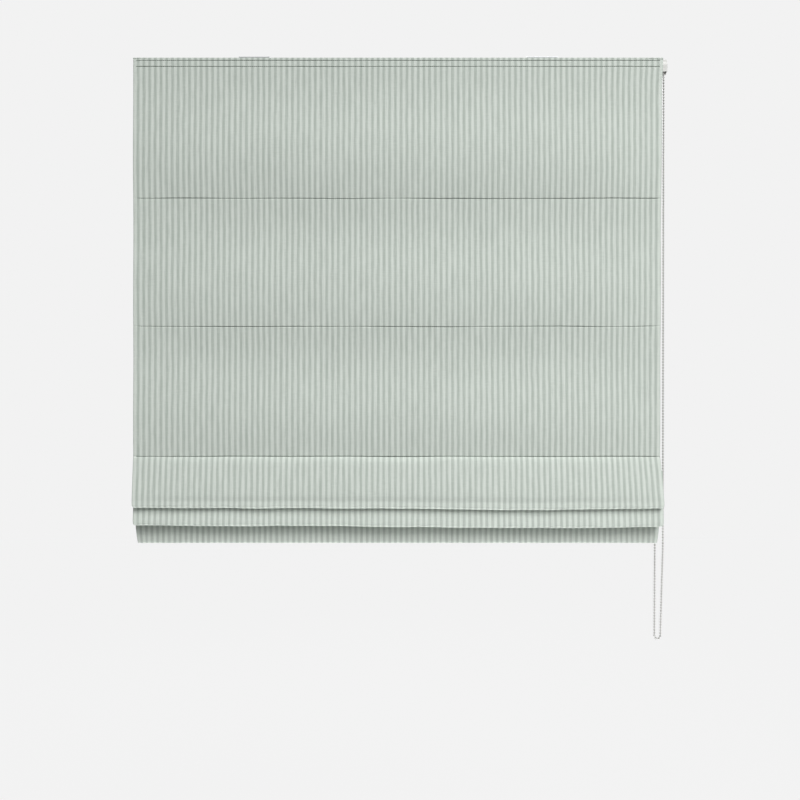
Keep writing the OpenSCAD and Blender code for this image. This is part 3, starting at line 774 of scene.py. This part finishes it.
@dataclass(frozen=True)
class Relief:
    """How the cloth departs from its plain line, in millimetres.

    Attributes:
        dip: How deep a rod line draws the cloth in.
        heading_dip: How deep a heading seam draws it in.
        pillow: How far each panel swells in its middle.
        sway: How far each panel sinks in its upper half and swells in its lower half.
        rail_foot: Height above which no panel sinks, because the headrail is behind it.
        rail_ramp: Height over which the sinking sets in below that.
        ease: How far back the first fold hangs.
        puff: How far the first fold swells just under the rod line.
        belly: How far it swells lower down.
        roll: How far it is drawn in above its bottom roll.
        corner: How much the lower corners are rounded.
        wave: Size of the waves in the panels.
        line_sag: How far each stitched line sags in its middle, from the top down.
        line_stray: How far each strays up and down.
        fold_slack_1: Place across, and rise of the first fold's bottom edge there.
        fold_slack_2: The same for the second fold.
    """

    dip: float = 2.1
    heading_dip: float = 1.0
    pillow: tuple[float, ...] = (5.2, 0.0, 0.3)
    sway: tuple[float, ...] = (3.6, 3.3, 3.5)
    rail_foot: float = -30.0
    rail_ramp: float = 25.0
    ease: float = 6.0
    puff: float = 6.5
    belly: float = 1.4
    roll: float = 2.0
    corner: float = 3.0
    wave: float = 0.5
    line_sag: tuple[float, ...] = (0.1, 0.1, 0.9, 0.7, 0.2)
    line_stray: tuple[float, ...] = (0.15, 0.15, 0.6, 0.7, 0.4)
    fold_slack_1: tuple[Spot, ...] = ((-550, -2.0), (-494, -2.0), (-255, -2.2), (4, -3.2), (160, -5.0),
                                      (263, -6.2), (400, -5.4), (481, -4.4), (550, -2.4))
    fold_slack_2: tuple[Spot, ...] = ((-550, 0.3), (-255, 0.0), (4, -1.8), (160, -3.6),
                                      (263, -4.8), (400, -4.0), (481, -3.0), (550, -1.6))

    def drift(self, x: np.ndarray, which: int) -> np.ndarray:
        """Args:
            x: Places across, in metres.
            which: Number of the stitched line, from the top.

        Returns:
            How far the line strays up or down there.
        """
        bow = 1.0 - (x / (SIZE.half_width * MM)) ** 2
        return self.line_stray[which] * smooth_noise(x, 11 + which, 0.11) - self.line_sag[which] * bow

    def tightness(self, x: np.ndarray, which: int) -> np.ndarray:
        """Args:
            x: Places across, in metres.
            which: Number of the stitched line, from the top.

        Returns:
            How hard the thread draws the cloth in there, 0 to 1.
        """
        pull = np.clip(0.8 + 0.35 * smooth_noise(x, 41 + which, 0.09), 0.55, 1.0)
        slack = np.interp(x, (-0.46, -0.3), (0.3, 1.0)) if which == LOOSE_LINE else 1.0
        return slack * pull * np.clip((0.549 - np.abs(x)) / 0.012, 0.0, 1.0)

    def hang(self, x: np.ndarray, which: int) -> np.ndarray:
        """Args:
            x: Places across, in metres.
            which: 0 for the first fold, 1 for the second.

        Returns:
            How the fold's bottom edge rises and falls across the width.
        """
        table = np.array((self.fold_slack_1, self.fold_slack_2)[which])
        fine = np.linspace(-0.6, 0.6, 241)
        coarse = np.interp(fine, table[:, 0] * MM, table[:, 1])
        kernel = np.hanning(25)
        rounded = np.convolve(np.pad(coarse, 12, mode="edge"), kernel / kernel.sum(), "valid")
        return np.interp(x, fine, rounded) + 0.5 * smooth_noise(x, 31 + which, 0.06)

    def surface(self, route: Route, x: np.ndarray, depth: np.ndarray) -> np.ndarray:
        """Lays a sheet along a line.

        Args:
            route: The line.
            x: Place across of each column, in millimetres.
            depth: Distance of each column from the line, towards the lining.

        Returns:
            Places (row, column, xyz) in millimetres.
        """
        s = SIZE
        pts, nrm = route.points, route.normals()
        xm, z0 = x * MM, pts[:, 1]
        seams = (s.z_seam_1, s.z_seam_2, s.z_rod_1, s.z_rod_2, s.z_rod_3)
        flat = (np.abs(pts[:, 0] - s.face_y) < 0.75) & (z0 < s.z_heading - 1.0) & (z0 > s.z_rod_3 - 60.0)
        out = np.zeros((len(pts), len(x)))
        rise = np.zeros_like(out)
        soft = 1.0 - 0.65 * (np.abs(x) / s.half_width) ** 4
        for k, seam in enumerate(seams):
            d = z0 - seam
            deep, wide, reach = (self.heading_dip, 0.6, 4.0) if k < 2 else (self.dip, 0.8, 45.0)
            rise += (np.exp(-(d / reach) ** 2) * flat)[:, None] * self.drift(xm, k)
            out += (deep * np.exp(-(d / wide) ** 2) * flat)[:, None] * self.tightness(xm, k)
            beside = np.exp(-np.abs(d) / 9.0) * (1.0 - np.exp(-(d / 1.5) ** 2))
            pucker = beside * flat * (0.5 if k < 2 else 1.0)
            fine, coarse = smooth_noise(xm, 51 + k, 0.009), smooth_noise(xm, 61 + k, 0.021)
            out += pucker[:, None] * (0.3 * fine + 0.25 * coarse)
        below_rail = np.clip((self.rail_foot - z0) / self.rail_ramp, 0.0, 1.0)
        for a, b, pillow, sway in zip(seams[1:-1], seams[2:], self.pillow, self.sway):
            t = np.clip((a - z0) / (a - b), 0.0, 1.0)
            sag = pillow * np.sin(np.pi * t) - sway * np.sin(2 * np.pi * t)
            out -= (np.where(sag < 0.0, sag * below_rail, sag) * flat)[:, None] * soft
        calm = np.clip((s.z_seam_2 - z0) / 60.0, 0.0, 1.0) * flat
        long = np.cos(z0 * 0.008)[:, None] * smooth_noise(xm, 71, 0.12)
        short = np.sin(z0 * 0.014 + 1.0)[:, None] * smooth_noise(xm, 72, 0.05)
        out += self.wave * calm[:, None] * (long + 0.6 * short)
        for k in (0, 1):
            weight = route.slack[:, k][:, None]
            rise += weight ** 1.5 * self.hang(xm, k)
            out += 0.7 * weight * (smooth_noise(xm, 81 + k, 0.09) + 0.5 * smooth_noise(xm, 91 + k, 0.035))
        fall = route.belly
        round_off = self.puff * (1.0 - np.exp(-fall / 0.05)) * (1.0 - fall) * (fall > 0.0)
        round_off += self.belly * np.sin(np.pi * fall ** 1.7)
        round_off -= self.roll * np.exp(-((fall - 0.87) / 0.05) ** 2)
        out -= round_off[:, None] * soft
        lift = depth[None, :] + out
        y = (pts[:, 0] + self.ease * route.slack[:, 0])[:, None] + nrm[:, 0][:, None] * lift
        z = z0[:, None] + nrm[:, 1][:, None] * lift + rise
        right = np.clip((x - 0.6 * s.half_width) / (0.4 * s.half_width), 0.0, 1.0) ** 2
        end = np.clip((np.abs(x) - 0.94 * s.half_width) / (0.06 * s.half_width), 0.0, 1.0) ** 2
        inward = route.waist[:, None] * right + self.corner * route.corner[:, None] * end * np.sign(x)
        return np.stack([x[None, :] - inward, y, z], axis=2)


@dataclass
class FaceCloth:
    """The striped cloth: heading, a flat panel hung from the headrail, and the folds that ride up with the
    stack.
    """

    palette: Palette
    line: ClothLine = field(default_factory=ClothLine)
    relief: Relief = field(default_factory=Relief)
    columns: int = 221

    def across(self) -> tuple[np.ndarray, np.ndarray, np.ndarray]:
        """Returns:
            x, distance behind the line and flat distance from the middle for each column, in millimetres.
        """
        s = SIZE
        front, back = -s.face / 2, 1.5 * s.face
        r = (back - front) / 2
        side = s.half_width - r
        turn = [(side + r * math.sin(a), front + r - r * math.cos(a)) for a in np.linspace(0.3, math.pi, 8)]
        turn += [(s.half_width - 14.0, back), (s.half_width - s.side_hem, back)]
        cols = [(-x, d) for x, d in reversed(turn)]
        cols += [(x, front) for x in np.linspace(-side, side, self.columns)]
        cols += turn
        x, depth = np.array(cols).T
        flat = np.concatenate([[0.0], np.cumsum(np.hypot(np.diff(x), np.diff(depth)))])
        return x, depth, flat - flat[len(cols) // 2]

    def piece(self, name: str, route: Route, hold: Hold, rests: list[str]) -> bpy.types.Object:
        """Args:
            name: The piece's name.
            route: The stretch of cloth line it covers.
            hold: How it is held; not used.
            rests: What it hangs from; not used.

        Returns:
            The finished sheet.
        """
        s = SIZE
        x, depth, flat = self.across()
        verts = self.relief.surface(route, x, depth) * MM
        run = route.lengths()
        uv = np.stack(np.meshgrid(flat, run), axis=2).reshape(-1, 2) * MM
        piece = mesh_piece(name, verts.reshape(-1, 3), grid_faces(len(run), len(x)), self.palette.face, uv)
        thicken(piece, s.face * MM)
        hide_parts("face_cloth")
        return piece

    def build(self) -> None:
        """Makes the three pieces and ties them to the lift."""
        heading = self.piece("face_heading", self.line.heading(), Hold.HUNG, ["loop_tape"])
        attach(heading, "headrail")
        panel = self.piece("face_panel", self.line.panel(), Hold.HUNG, ["headrail"])
        gather(panel)
        folds = self.piece("face_folds", self.line.folds(), Hold.GATHERED, ["rod_3", "rod_4", "rod_5"])
        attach(folds, "stack")


@dataclass
class Lining:
    """The lining behind the face, with a rod pocket sewn behind every rod line.

    Attributes:
        palette: The finishes.
        line: The cloth line that it lies behind.
        relief: How the cloth departs from that line.
        columns: Vertices across.
        mouth: Half the opening of a rod pocket, in degrees.
        clear: Room left between the lining and a tuck, in millimetres.
    """

    palette: Palette
    line: ClothLine = field(default_factory=ClothLine)
    relief: Relief = field(default_factory=Relief)
    columns: int = 90
    mouth: float = 12.0
    clear: float = 0.3

    def half(self) -> float:
        """Half the lining's width, which stops short of the turned side hems."""
        return SIZE.half_width - SIZE.side_hem - 0.5

    def finish(self, piece: bpy.types.Object, length: float, hold: Hold, rests: list[str]) -> None:
        """Args:
            piece: A sheet of lining.
            length: Its flat length in millimetres; not used.
            hold: How it is held; not used.
            rests: What it hangs from; not used.
        """
        s = SIZE
        thicken(piece, (s.lining_far - s.lining_near) * MM)
        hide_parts("lining")

    def sheet(self, name: str, route: Route, hold: Hold, rests: list[str]) -> bpy.types.Object:
        """Args:
            name: The piece's name.
            route: The stretch of cloth line it lies behind.
            hold: How it is held.
            rests: What it hangs from.

        Returns:
            The finished sheet.
        """
        x = np.linspace(-self.half(), self.half(), self.columns)
        verts = self.relief.surface(route, x, np.full(len(x), SIZE.lining_near)) * MM
        faces = grid_faces(len(route.points), len(x))
        piece = mesh_piece(name, verts.reshape(-1, 3), faces, self.palette.lining)
        self.finish(piece, float(route.lengths()[-1]), hold, rests)
        return piece

    def pocket(self, name: str, root: Spot, rod: Spot, body: str, rests: list[str]) -> None:
        """Makes a tuck and the pocket at its end, round a rod.

        Args:
            name: The piece's name.
            root: Where the tuck leaves the lining.
            rod: Middle of the rod.
            body: The body it moves with.
            rests: The rod inside it.
        """
        away = bearing(rod, root)
        ring = arc(rod, SIZE.pocket, away + self.mouth, away + 360.0 - self.mouth, 22)
        along = np.subtract(rod, root) / math.dist(rod, root)
        gap = np.array([-along[1], along[0]]) * SIZE.pocket * math.sin(math.radians(self.mouth))
        near, far = tuple(np.add(root, -gap)), tuple(np.add(root, gap))
        near, far = (near, far) if math.dist(near, ring[0]) < math.dist(far, ring[0]) else (far, near)
        pts = [near] + straight(near, ring[0], 4.0) + ring + straight(ring[-1], far, 4.0) + [far]
        x = np.linspace(-self.half(), self.half(), self.columns)
        verts = np.array([(a, y, z) for y, z in pts for a in x]) * MM
        piece = mesh_piece(name, verts, grid_faces(len(pts), len(x)), self.palette.lining)
        self.finish(piece, float(Route.plain(pts).lengths()[-1]), Hold.FOLDED, rests)
        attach(piece, body)

    def build(self) -> None:
        """Makes the lining's sheets and pockets."""
        s = SIZE
        panel = self.sheet("lining_panel", self.line.panel(), Hold.HUNG, ["headrail"])
        gather(panel)
        route = self.line.folds()
        end = int(np.argmin(np.abs(route.points - np.array(self.line.hem_top())).sum(axis=1)))
        folds = self.sheet("lining_folds", route.part(0, end + 1), Hold.GATHERED, ["rod_3", "rod_4", "rod_5"])
        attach(folds, "stack")
        back = s.face_y + s.lining_far + self.relief.dip + self.clear
        over = s.lining_far + 2 * self.clear
        roots = [(back, z) for z in (s.z_rod_1, s.z_rod_2, s.z_rod_3)]
        roots += [(c[0] + self.clear, c[1] + over) for c in (s.crest_4, s.crest_5)]
        bodies = ("rod_one", "rod_two", "stack", "stack", "stack")
        for k, (root, body) in enumerate(zip(roots, bodies)):
            self.pocket(f"rod_pocket_{k + 1}", root, (s.rod_y, s.rod_zs[k]), body, [f"rod_{k + 1}"])


@dataclass(frozen=True)
class Thread:
    """A kind of stitch, in millimetres: depth below the cloth's front, the thread's radius, length."""

    depth: float
    radius: float
    length: float


@dataclass
class Stitching:
    """Rows of stitches along the heading and the rod lines.

    Attributes:
        palette: The finishes.
        relief: How the cloth strays at the stitched lines.
        heading: The stitch along the heading.
        rods: The stitch along the rod lines.
        pitch: Distance from stitch to stitch, in millimetres.
        rise: How far a stitch arches forward, in millimetres.
        margin: Room left at both ends of a row, in millimetres.
        sides: Sides of the thread's section.
    """

    palette: Palette
    relief: Relief = field(default_factory=Relief)
    heading: Thread = Thread(0.6, 0.58, 4.0)
    rods: Thread = Thread(1.5, 0.45, 3.2)
    pitch: float = 4.2
    rise: float = 0.25
    margin: float = 6.0
    sides: int = 6

    def stitch(self, name: str, place: Point, thread: Thread) -> bpy.types.Object:
        """Shapes one stitch: a short run of thread with rounded ends, arched forward.

        Args:
            name: The piece's name.
            place: Its middle in millimetres.
            thread: The kind of stitch.

        Returns:
            The stitch.
        """
        bpy.ops.object.select_all(action="DESELECT")
        bpy.ops.mesh.primitive_cylinder_add(
            vertices=self.sides, radius=thread.radius * MM, depth=thread.length * MM,
            location=tuple(v * MM for v in place), rotation=(0.0, QUARTER, 0.0))
        piece = bpy.context.active_object
        piece.name = name
        piece.data.name = name
        bpy.ops.object.transform_apply(location=True, rotation=True, scale=True)
        self.pick(piece, [abs(f.normal.x) > 0.9 for f in piece.data.polygons])
        bpy.ops.mesh.bevel(offset=0.6 * thread.radius * MM, segments=2, affect="EDGES")
        bpy.ops.mesh.select_all(action="SELECT")
        bpy.ops.mesh.bisect(plane_co=(place[0] * MM, 0.0, 0.0), plane_no=(1.0, 0.0, 0.0))
        bpy.ops.transform.translate(value=(0.0, -self.rise * MM, 0.0))
        bpy.ops.object.mode_set(mode="OBJECT")
        return piece

    def pick(self, piece: bpy.types.Object, chosen: Sequence[bool]) -> None:
        """Selects faces and goes into edit mode.

        Args:
            piece: The piece.
            chosen: Whether each face is selected.
        """
        bpy.ops.object.mode_set(mode="EDIT")
        bpy.ops.mesh.select_mode(type="FACE")
        bpy.ops.mesh.select_all(action="DESELECT")
        bpy.ops.object.mode_set(mode="OBJECT")
        for face, flag in zip(piece.data.polygons, chosen):
            face.select = flag
        bpy.ops.object.mode_set(mode="EDIT")

    def row(self, name: str, z: float, which: int, thread: Thread) -> bpy.types.Object:
        """Makes one row of stitches.

        Args:
            name: The piece's name.
            z: Height of the row in millimetres.
            which: Number of the stitched line, for its drift.
            thread: The kind of stitch.

        Returns:
            The row as one piece.
        """
        half = SIZE.half_width - self.margin
        y = SIZE.face_y - SIZE.face / 2 + thread.depth
        piece = self.stitch(name, (0.5 * self.pitch - half, y, z), thread)
        row = piece.modifiers.new("row", "ARRAY")
        row.count = int(2 * half / self.pitch)
        row.use_relative_offset = False
        row.use_constant_offset = True
        row.constant_offset_displace = (self.pitch * MM, 0.0, 0.0)
        bpy.ops.object.modifier_apply(modifier=row.name)
        bpy.ops.object.shade_smooth()
        verts = np.empty(3 * len(piece.data.vertices), dtype=np.float32)
        piece.data.vertices.foreach_get("co", verts)
        verts[2::3] += self.relief.drift(verts[0::3], which) * MM
        if which == LOOSE_LINE:
            verts[1::3] -= (1.0 - self.relief.tightness(verts[0::3], which)) * self.relief.dip * MM
        piece.data.vertices.foreach_set("co", verts)
        piece.data.update()
        piece.data.materials.append(self.palette.thread)
        LOG.info("stitches %s: %d vertices", name, len(piece.data.vertices))
        return piece

    def build(self) -> None:
        """Makes the five rows."""
        s = SIZE
        for k, z in enumerate((s.z_seam_1, s.z_seam_2)):
            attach(self.row(f"heading_stitches_{k + 1}", z, k, self.heading), "headrail")
        for k, z in enumerate((s.z_rod_1, s.z_rod_2, s.z_rod_3)):
            gather(self.row(f"rod_stitches_{k + 1}", z, k + 2, self.rods))


@dataclass
class BeadChain:
    """Endless chain of moulded beads over the control wheel.

    Attributes:
        palette: The finishes.
        sides: Vertices round a bead.
        rings: Rings of vertices along a bead.
        cap: Angle up to which a bead is round, in degrees.
        pockets: Pockets of the wheel.
        knee_z: Height at which both strands start to turn in, in millimetres.
        front_knee: Where the front strand is there, from the wheel, in millimetres.
        rear_knee: Where the rear strand is there.
        low: Where the loop turns, from the wheel and at its own height.
        twist: How far the loop's lower end is turned, in degrees.
    """

    palette: Palette
    sides: int = 14
    rings: int = 9
    cap: float = 74.0
    pockets: int = 12
    knee_z: float = -1020.0
    front_knee: Spot = (-1.0, -9.0)
    rear_knee: Spot = (-14.0, 7.0)
    low: Point = (-11.0, -2.0, -1209.0)
    twist: float = 20.0

    def route(self) -> list[Point]:
        """Returns:
            The chain's corner points in metres, from the wheel's front round to it again.
        """
        s = SIZE
        wheel = s.bead_pitch / (2 * math.sin(math.pi / self.pockets))
        low = (s.wheel_x + self.low[0], self.low[1], self.low[2])
        twist = math.radians(self.twist)
        turn = [(low[0] + s.bead_pitch * math.cos(a) * math.cos(twist),
                 low[1] - s.bead_pitch * math.cos(a) * math.sin(twist), low[2] - s.bead_pitch * math.sin(a))
                for a in (math.radians(60 * k) for k in range(4))]
        over = [(s.wheel_x, wheel * math.cos(a), s.shaft_z + wheel * math.sin(a))
                for a in (TURN * k / self.pockets for k in range(self.pockets // 2 + 1))]
        front, rear = ((s.wheel_x + x, y, self.knee_z) for x, y in (self.front_knee, self.rear_knee))
        pts = [(s.wheel_x, -wheel, s.shaft_z), front, *turn, rear, *over]
        return [(x * MM, y * MM, z * MM) for x, y, z in pts]

    def beads(self) -> list[tuple[np.ndarray, np.ndarray]]:
        """Returns:
            Place and direction of every bead.
        """
        pts = [np.array(p) for p in self.route()]
        out = []
        for a, b in zip(pts[:-1], pts[1:]):
            n = max(1, round(float(np.linalg.norm(b - a)) / (SIZE.bead_pitch * MM)))
            out += [(a + (b - a) * k / n, (b - a) / n) for k in range(n)]
        return out

    def build(self) -> None:
        """Makes the chain as one mesh of beads joined by their cord."""
        s = SIZE
        r, q = s.bead * MM / 2, s.bead_neck * MM / 2
        places = self.beads()
        verts: list[np.ndarray] = []
        faces: list[tuple[int, ...]] = []
        angles = np.linspace(-self.cap, self.cap, self.rings)
        for at, step in places:
            d = step / np.linalg.norm(step)
            e = np.cross(d, (0.0, 0.0, 1.0) if abs(d[2]) < 0.9 else (1.0, 0.0, 0.0))
            e /= np.linalg.norm(e)
            f = np.cross(d, e)
            profile = [(r * math.sin(math.radians(a)), max(q, r * math.cos(math.radians(a)))) for a in angles]
            profile.append((float(np.linalg.norm(step)) - r * math.sin(math.radians(self.cap)), q))
            faces += tube_faces(len(verts), len(profile), self.sides)
            for along, size in profile:
                for a in np.linspace(0, TURN, self.sides, endpoint=False):
                    verts.append(at + d * along + (e * math.cos(a) + f * math.sin(a)) * size)
        chain = mesh_piece("chain_of_beads", np.array(verts), faces, self.palette.bead)
        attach(chain, "headrail")
        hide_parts("bead_chain")


@dataclass
class LiftCords:
    """The three cords that draw the rods up."""

    palette: Palette
    sides: int = 10
    rings: int = 60

    def build(self) -> None:
        """Makes each cord from its spool down to its toggle."""
        s = SIZE
        r = s.cord / 2
        heights = np.linspace(s.cord_end, s.shaft_z, self.rings)
        angles = np.linspace(0, TURN, self.sides, endpoint=False)
        for name, x in (("left", -s.cord_x), ("middle", 0.0), ("right", s.cord_x)):
            verts = [(x + r * math.cos(a), s.cord_y + r * math.sin(a), z) for z in heights for a in angles]
            faces = tube_faces(0, self.rings, self.sides)
            cord = mesh_piece(f"cord_{name}", np.array(verts) * MM, faces, self.palette.cord)
            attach(cord, "headrail")
            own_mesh(cord)
            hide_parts(f"lift_cord_{name}")


@dataclass
class Hardware:
    """The rigid pieces that come straight from the frame."""

    palette: Palette

    def finishes(self) -> dict[str, bpy.types.Material]:
        """Returns:
            The finish of each record slot.
        """
        p = self.palette
        return {"rail": p.rail, "tape": p.tape, "white_plastic": p.white, "grey_plastic": p.grey,
                "steel": p.steel, "chain": p.bead, "cord": p.cord, "rod": p.rod, "bar": p.bar,
                "face_cloth": p.face, "lining": p.lining}

    def dress(self) -> None:
        """Gives every carried-over piece its finish."""
        finish = self.finishes()
        slots = {row["node"]: row["material_slot"] for row in frame["record"]["subparts"]}
        for name, piece in frame["nodes"].items():
            piece.data.materials.clear()
            piece.data.materials.append(finish[slots[name]])
            LOG.info("dressed %s", name)


@dataclass(frozen=True)
class Lamp:
    """A soft lamp: where it stands, the point it faces, its face in metres and its power in watts."""

    name: str
    place: Point
    aim: Point
    size: Spot
    power: float


@dataclass
class Studio:
    """Camera, pale surroundings and soft light."""

    eye: Point = (0.0037, -2.164, -0.7148)
    lens: float = 46.4
    floor_z: float = -1.95
    tone: tuple[int, int, int] = (242, 242, 242)
    floor_tone: tuple[int, int, int] = (247, 247, 247)
    evenness: float = 0.94
    ambient: float = 0.05
    floor_paint: tuple[int, int, int] = (130, 130, 130)
    floor_size: float = 14.0
    sensor: float = 36.0
    key: Lamp = Lamp("key", (1.85, -2.7, 0.0), (0.0, 0.0, -0.6), (1.9, 1.9), 41.0)
    rear: Lamp = Lamp("rear", (-0.6, 2.8, 0.6), (0.0, 0.0, -0.5), (2.0, 2.0), 75.0)
    bounce: Lamp = Lamp("bounce", (0.0, -0.025, -1.9), (0.0, -0.025, -0.9), (1.7, 0.12), 15.0)
    sky: float = 3.02
    sky_spread: float = 36.0
    sky_place: Point = (0.9, -1.85, 2.15)

    def camera(self) -> None:
        """Places the camera square to the cloth."""
        data = bpy.data.cameras.new("camera")
        data.lens = self.lens
        data.sensor_width = self.sensor
        camera = bpy.data.objects.new("camera", data)
        camera.location = self.eye
        camera.rotation_euler = (QUARTER, 0.0, 0.0)
        bpy.context.scene.collection.objects.link(camera)
        bpy.context.scene.camera = camera

    def turn(self, lamp: bpy.types.Object, place: Point, aim: Point) -> None:
        """Points a lamp.

        Args:
            lamp: The lamp.
            place: Where it stands.
            aim: The point it faces.
        """
        way = np.array(aim) - np.array(place)
        flat = math.hypot(way[0], way[1])
        spin = math.atan2(way[1], way[0]) - QUARTER if flat > 0.001 else 0.0
        lamp.rotation_euler = (math.atan2(flat, -way[2]), 0.0, spin)

    def soft(self, lamp: Lamp) -> None:
        """Adds one soft lamp.

        Args:
            lamp: What it is.
        """
        data = bpy.data.lights.new(lamp.name, "AREA")
        data.shape = "RECTANGLE"
        data.size, data.size_y = lamp.size
        data.energy = lamp.power
        piece = bpy.data.objects.new(lamp.name, data)
        piece.location = lamp.place
        self.turn(piece, lamp.place, lamp.aim)
        bpy.context.scene.collection.objects.link(piece)

    def overhead(self) -> None:
        """Adds even, broad light from above the front."""
        data = bpy.data.lights.new("sky", "SUN")
        data.energy = self.sky
        data.angle = math.radians(self.sky_spread)
        lamp = bpy.data.objects.new("sky", data)
        lamp.location = self.sky_place
        self.turn(lamp, self.sky_place, (0.0, 0.0, 0.0))
        bpy.context.scene.collection.objects.link(lamp)

    def backdrop(self) -> bpy.types.Material:
        """Returns:
            Pale paint that shows the camera and reflections one nearly even tone.
        """
        g = Graph("pale_backdrop")
        g.surface(Base_Color=srgb(*self.floor_paint), Roughness=0.95)
        path = g.add("ShaderNodeLightPath", {})
        camera, glossy, through = (Socket(g, path.outputs[f"Is {kind} Ray"])
                                   for kind in ("Camera", "Glossy", "Transmission"))
        seen = (camera + glossy + through).smooth(0.0, 1.0)
        even = g.add("ShaderNodeEmission", {"Color": srgb(*self.floor_tone), "Strength": 1.0})
        mix = g.add("ShaderNodeMixShader", {0: seen * self.evenness})
        g.tree.links.new(g.bsdf.outputs[0], mix.inputs[1])
        g.tree.links.new(even.outputs[0], mix.inputs[2])
        g.tree.links.new(mix.outputs[0], g.tree.nodes["Material Output"].inputs["Surface"])
        return g.material

    def air(self) -> None:
        """Fills the surroundings with a little light and shows the camera and reflections a pale tone."""
        world = bpy.data.worlds.new("studio")
        world.use_nodes = True
        tree = world.node_tree
        dim = tree.nodes["Background"]
        dim.inputs[0].default_value = (1.0, 1.0, 1.0, 1.0)
        dim.inputs[1].default_value = self.ambient
        even = tree.nodes.new("ShaderNodeBackground")
        even.inputs[0].default_value = srgb(*self.tone)
        path = tree.nodes.new("ShaderNodeLightPath")
        mix = tree.nodes.new("ShaderNodeMixShader")
        either = path.outputs["Is Camera Ray"]
        for kind in ("Glossy", "Transmission"):
            node = tree.nodes.new("ShaderNodeMath")
            node.operation = "MAXIMUM"
            tree.links.new(either, node.inputs[0])
            tree.links.new(path.outputs[f"Is {kind} Ray"], node.inputs[1])
            either = node.outputs[0]
        tree.links.new(either, mix.inputs[0])
        tree.links.new(dim.outputs[0], mix.inputs[1])
        tree.links.new(even.outputs[0], mix.inputs[2])
        tree.links.new(mix.outputs[0], tree.nodes["World Output"].inputs["Surface"])
        bpy.context.scene.world = world

    def surroundings(self) -> None:
        """Makes the floor, the air and the light."""
        bpy.ops.mesh.primitive_plane_add(size=self.floor_size, location=(0.0, 0.0, self.floor_z))
        floor = bpy.context.active_object
        floor.name = "floor"
        floor.data.materials.append(self.backdrop())
        self.air()
        self.soft(self.key)
        self.soft(self.rear)
        self.overhead()
        self.soft(self.bounce)
        bpy.context.scene.view_settings.view_transform = "Standard"


def main() -> None:
    """Builds the camera, the cords, the cloth, the finishes and the studio in that order."""
    studio = Studio()
    studio.camera()
    palette = Palette()
    BeadChain(palette).build()
    LiftCords(palette).build()
    FaceCloth(palette).build()
    Lining(palette).build()
    Stitching(palette).build()
    Hardware(palette).dress()
    studio.surroundings()


if __name__ == "__main__":
    main()
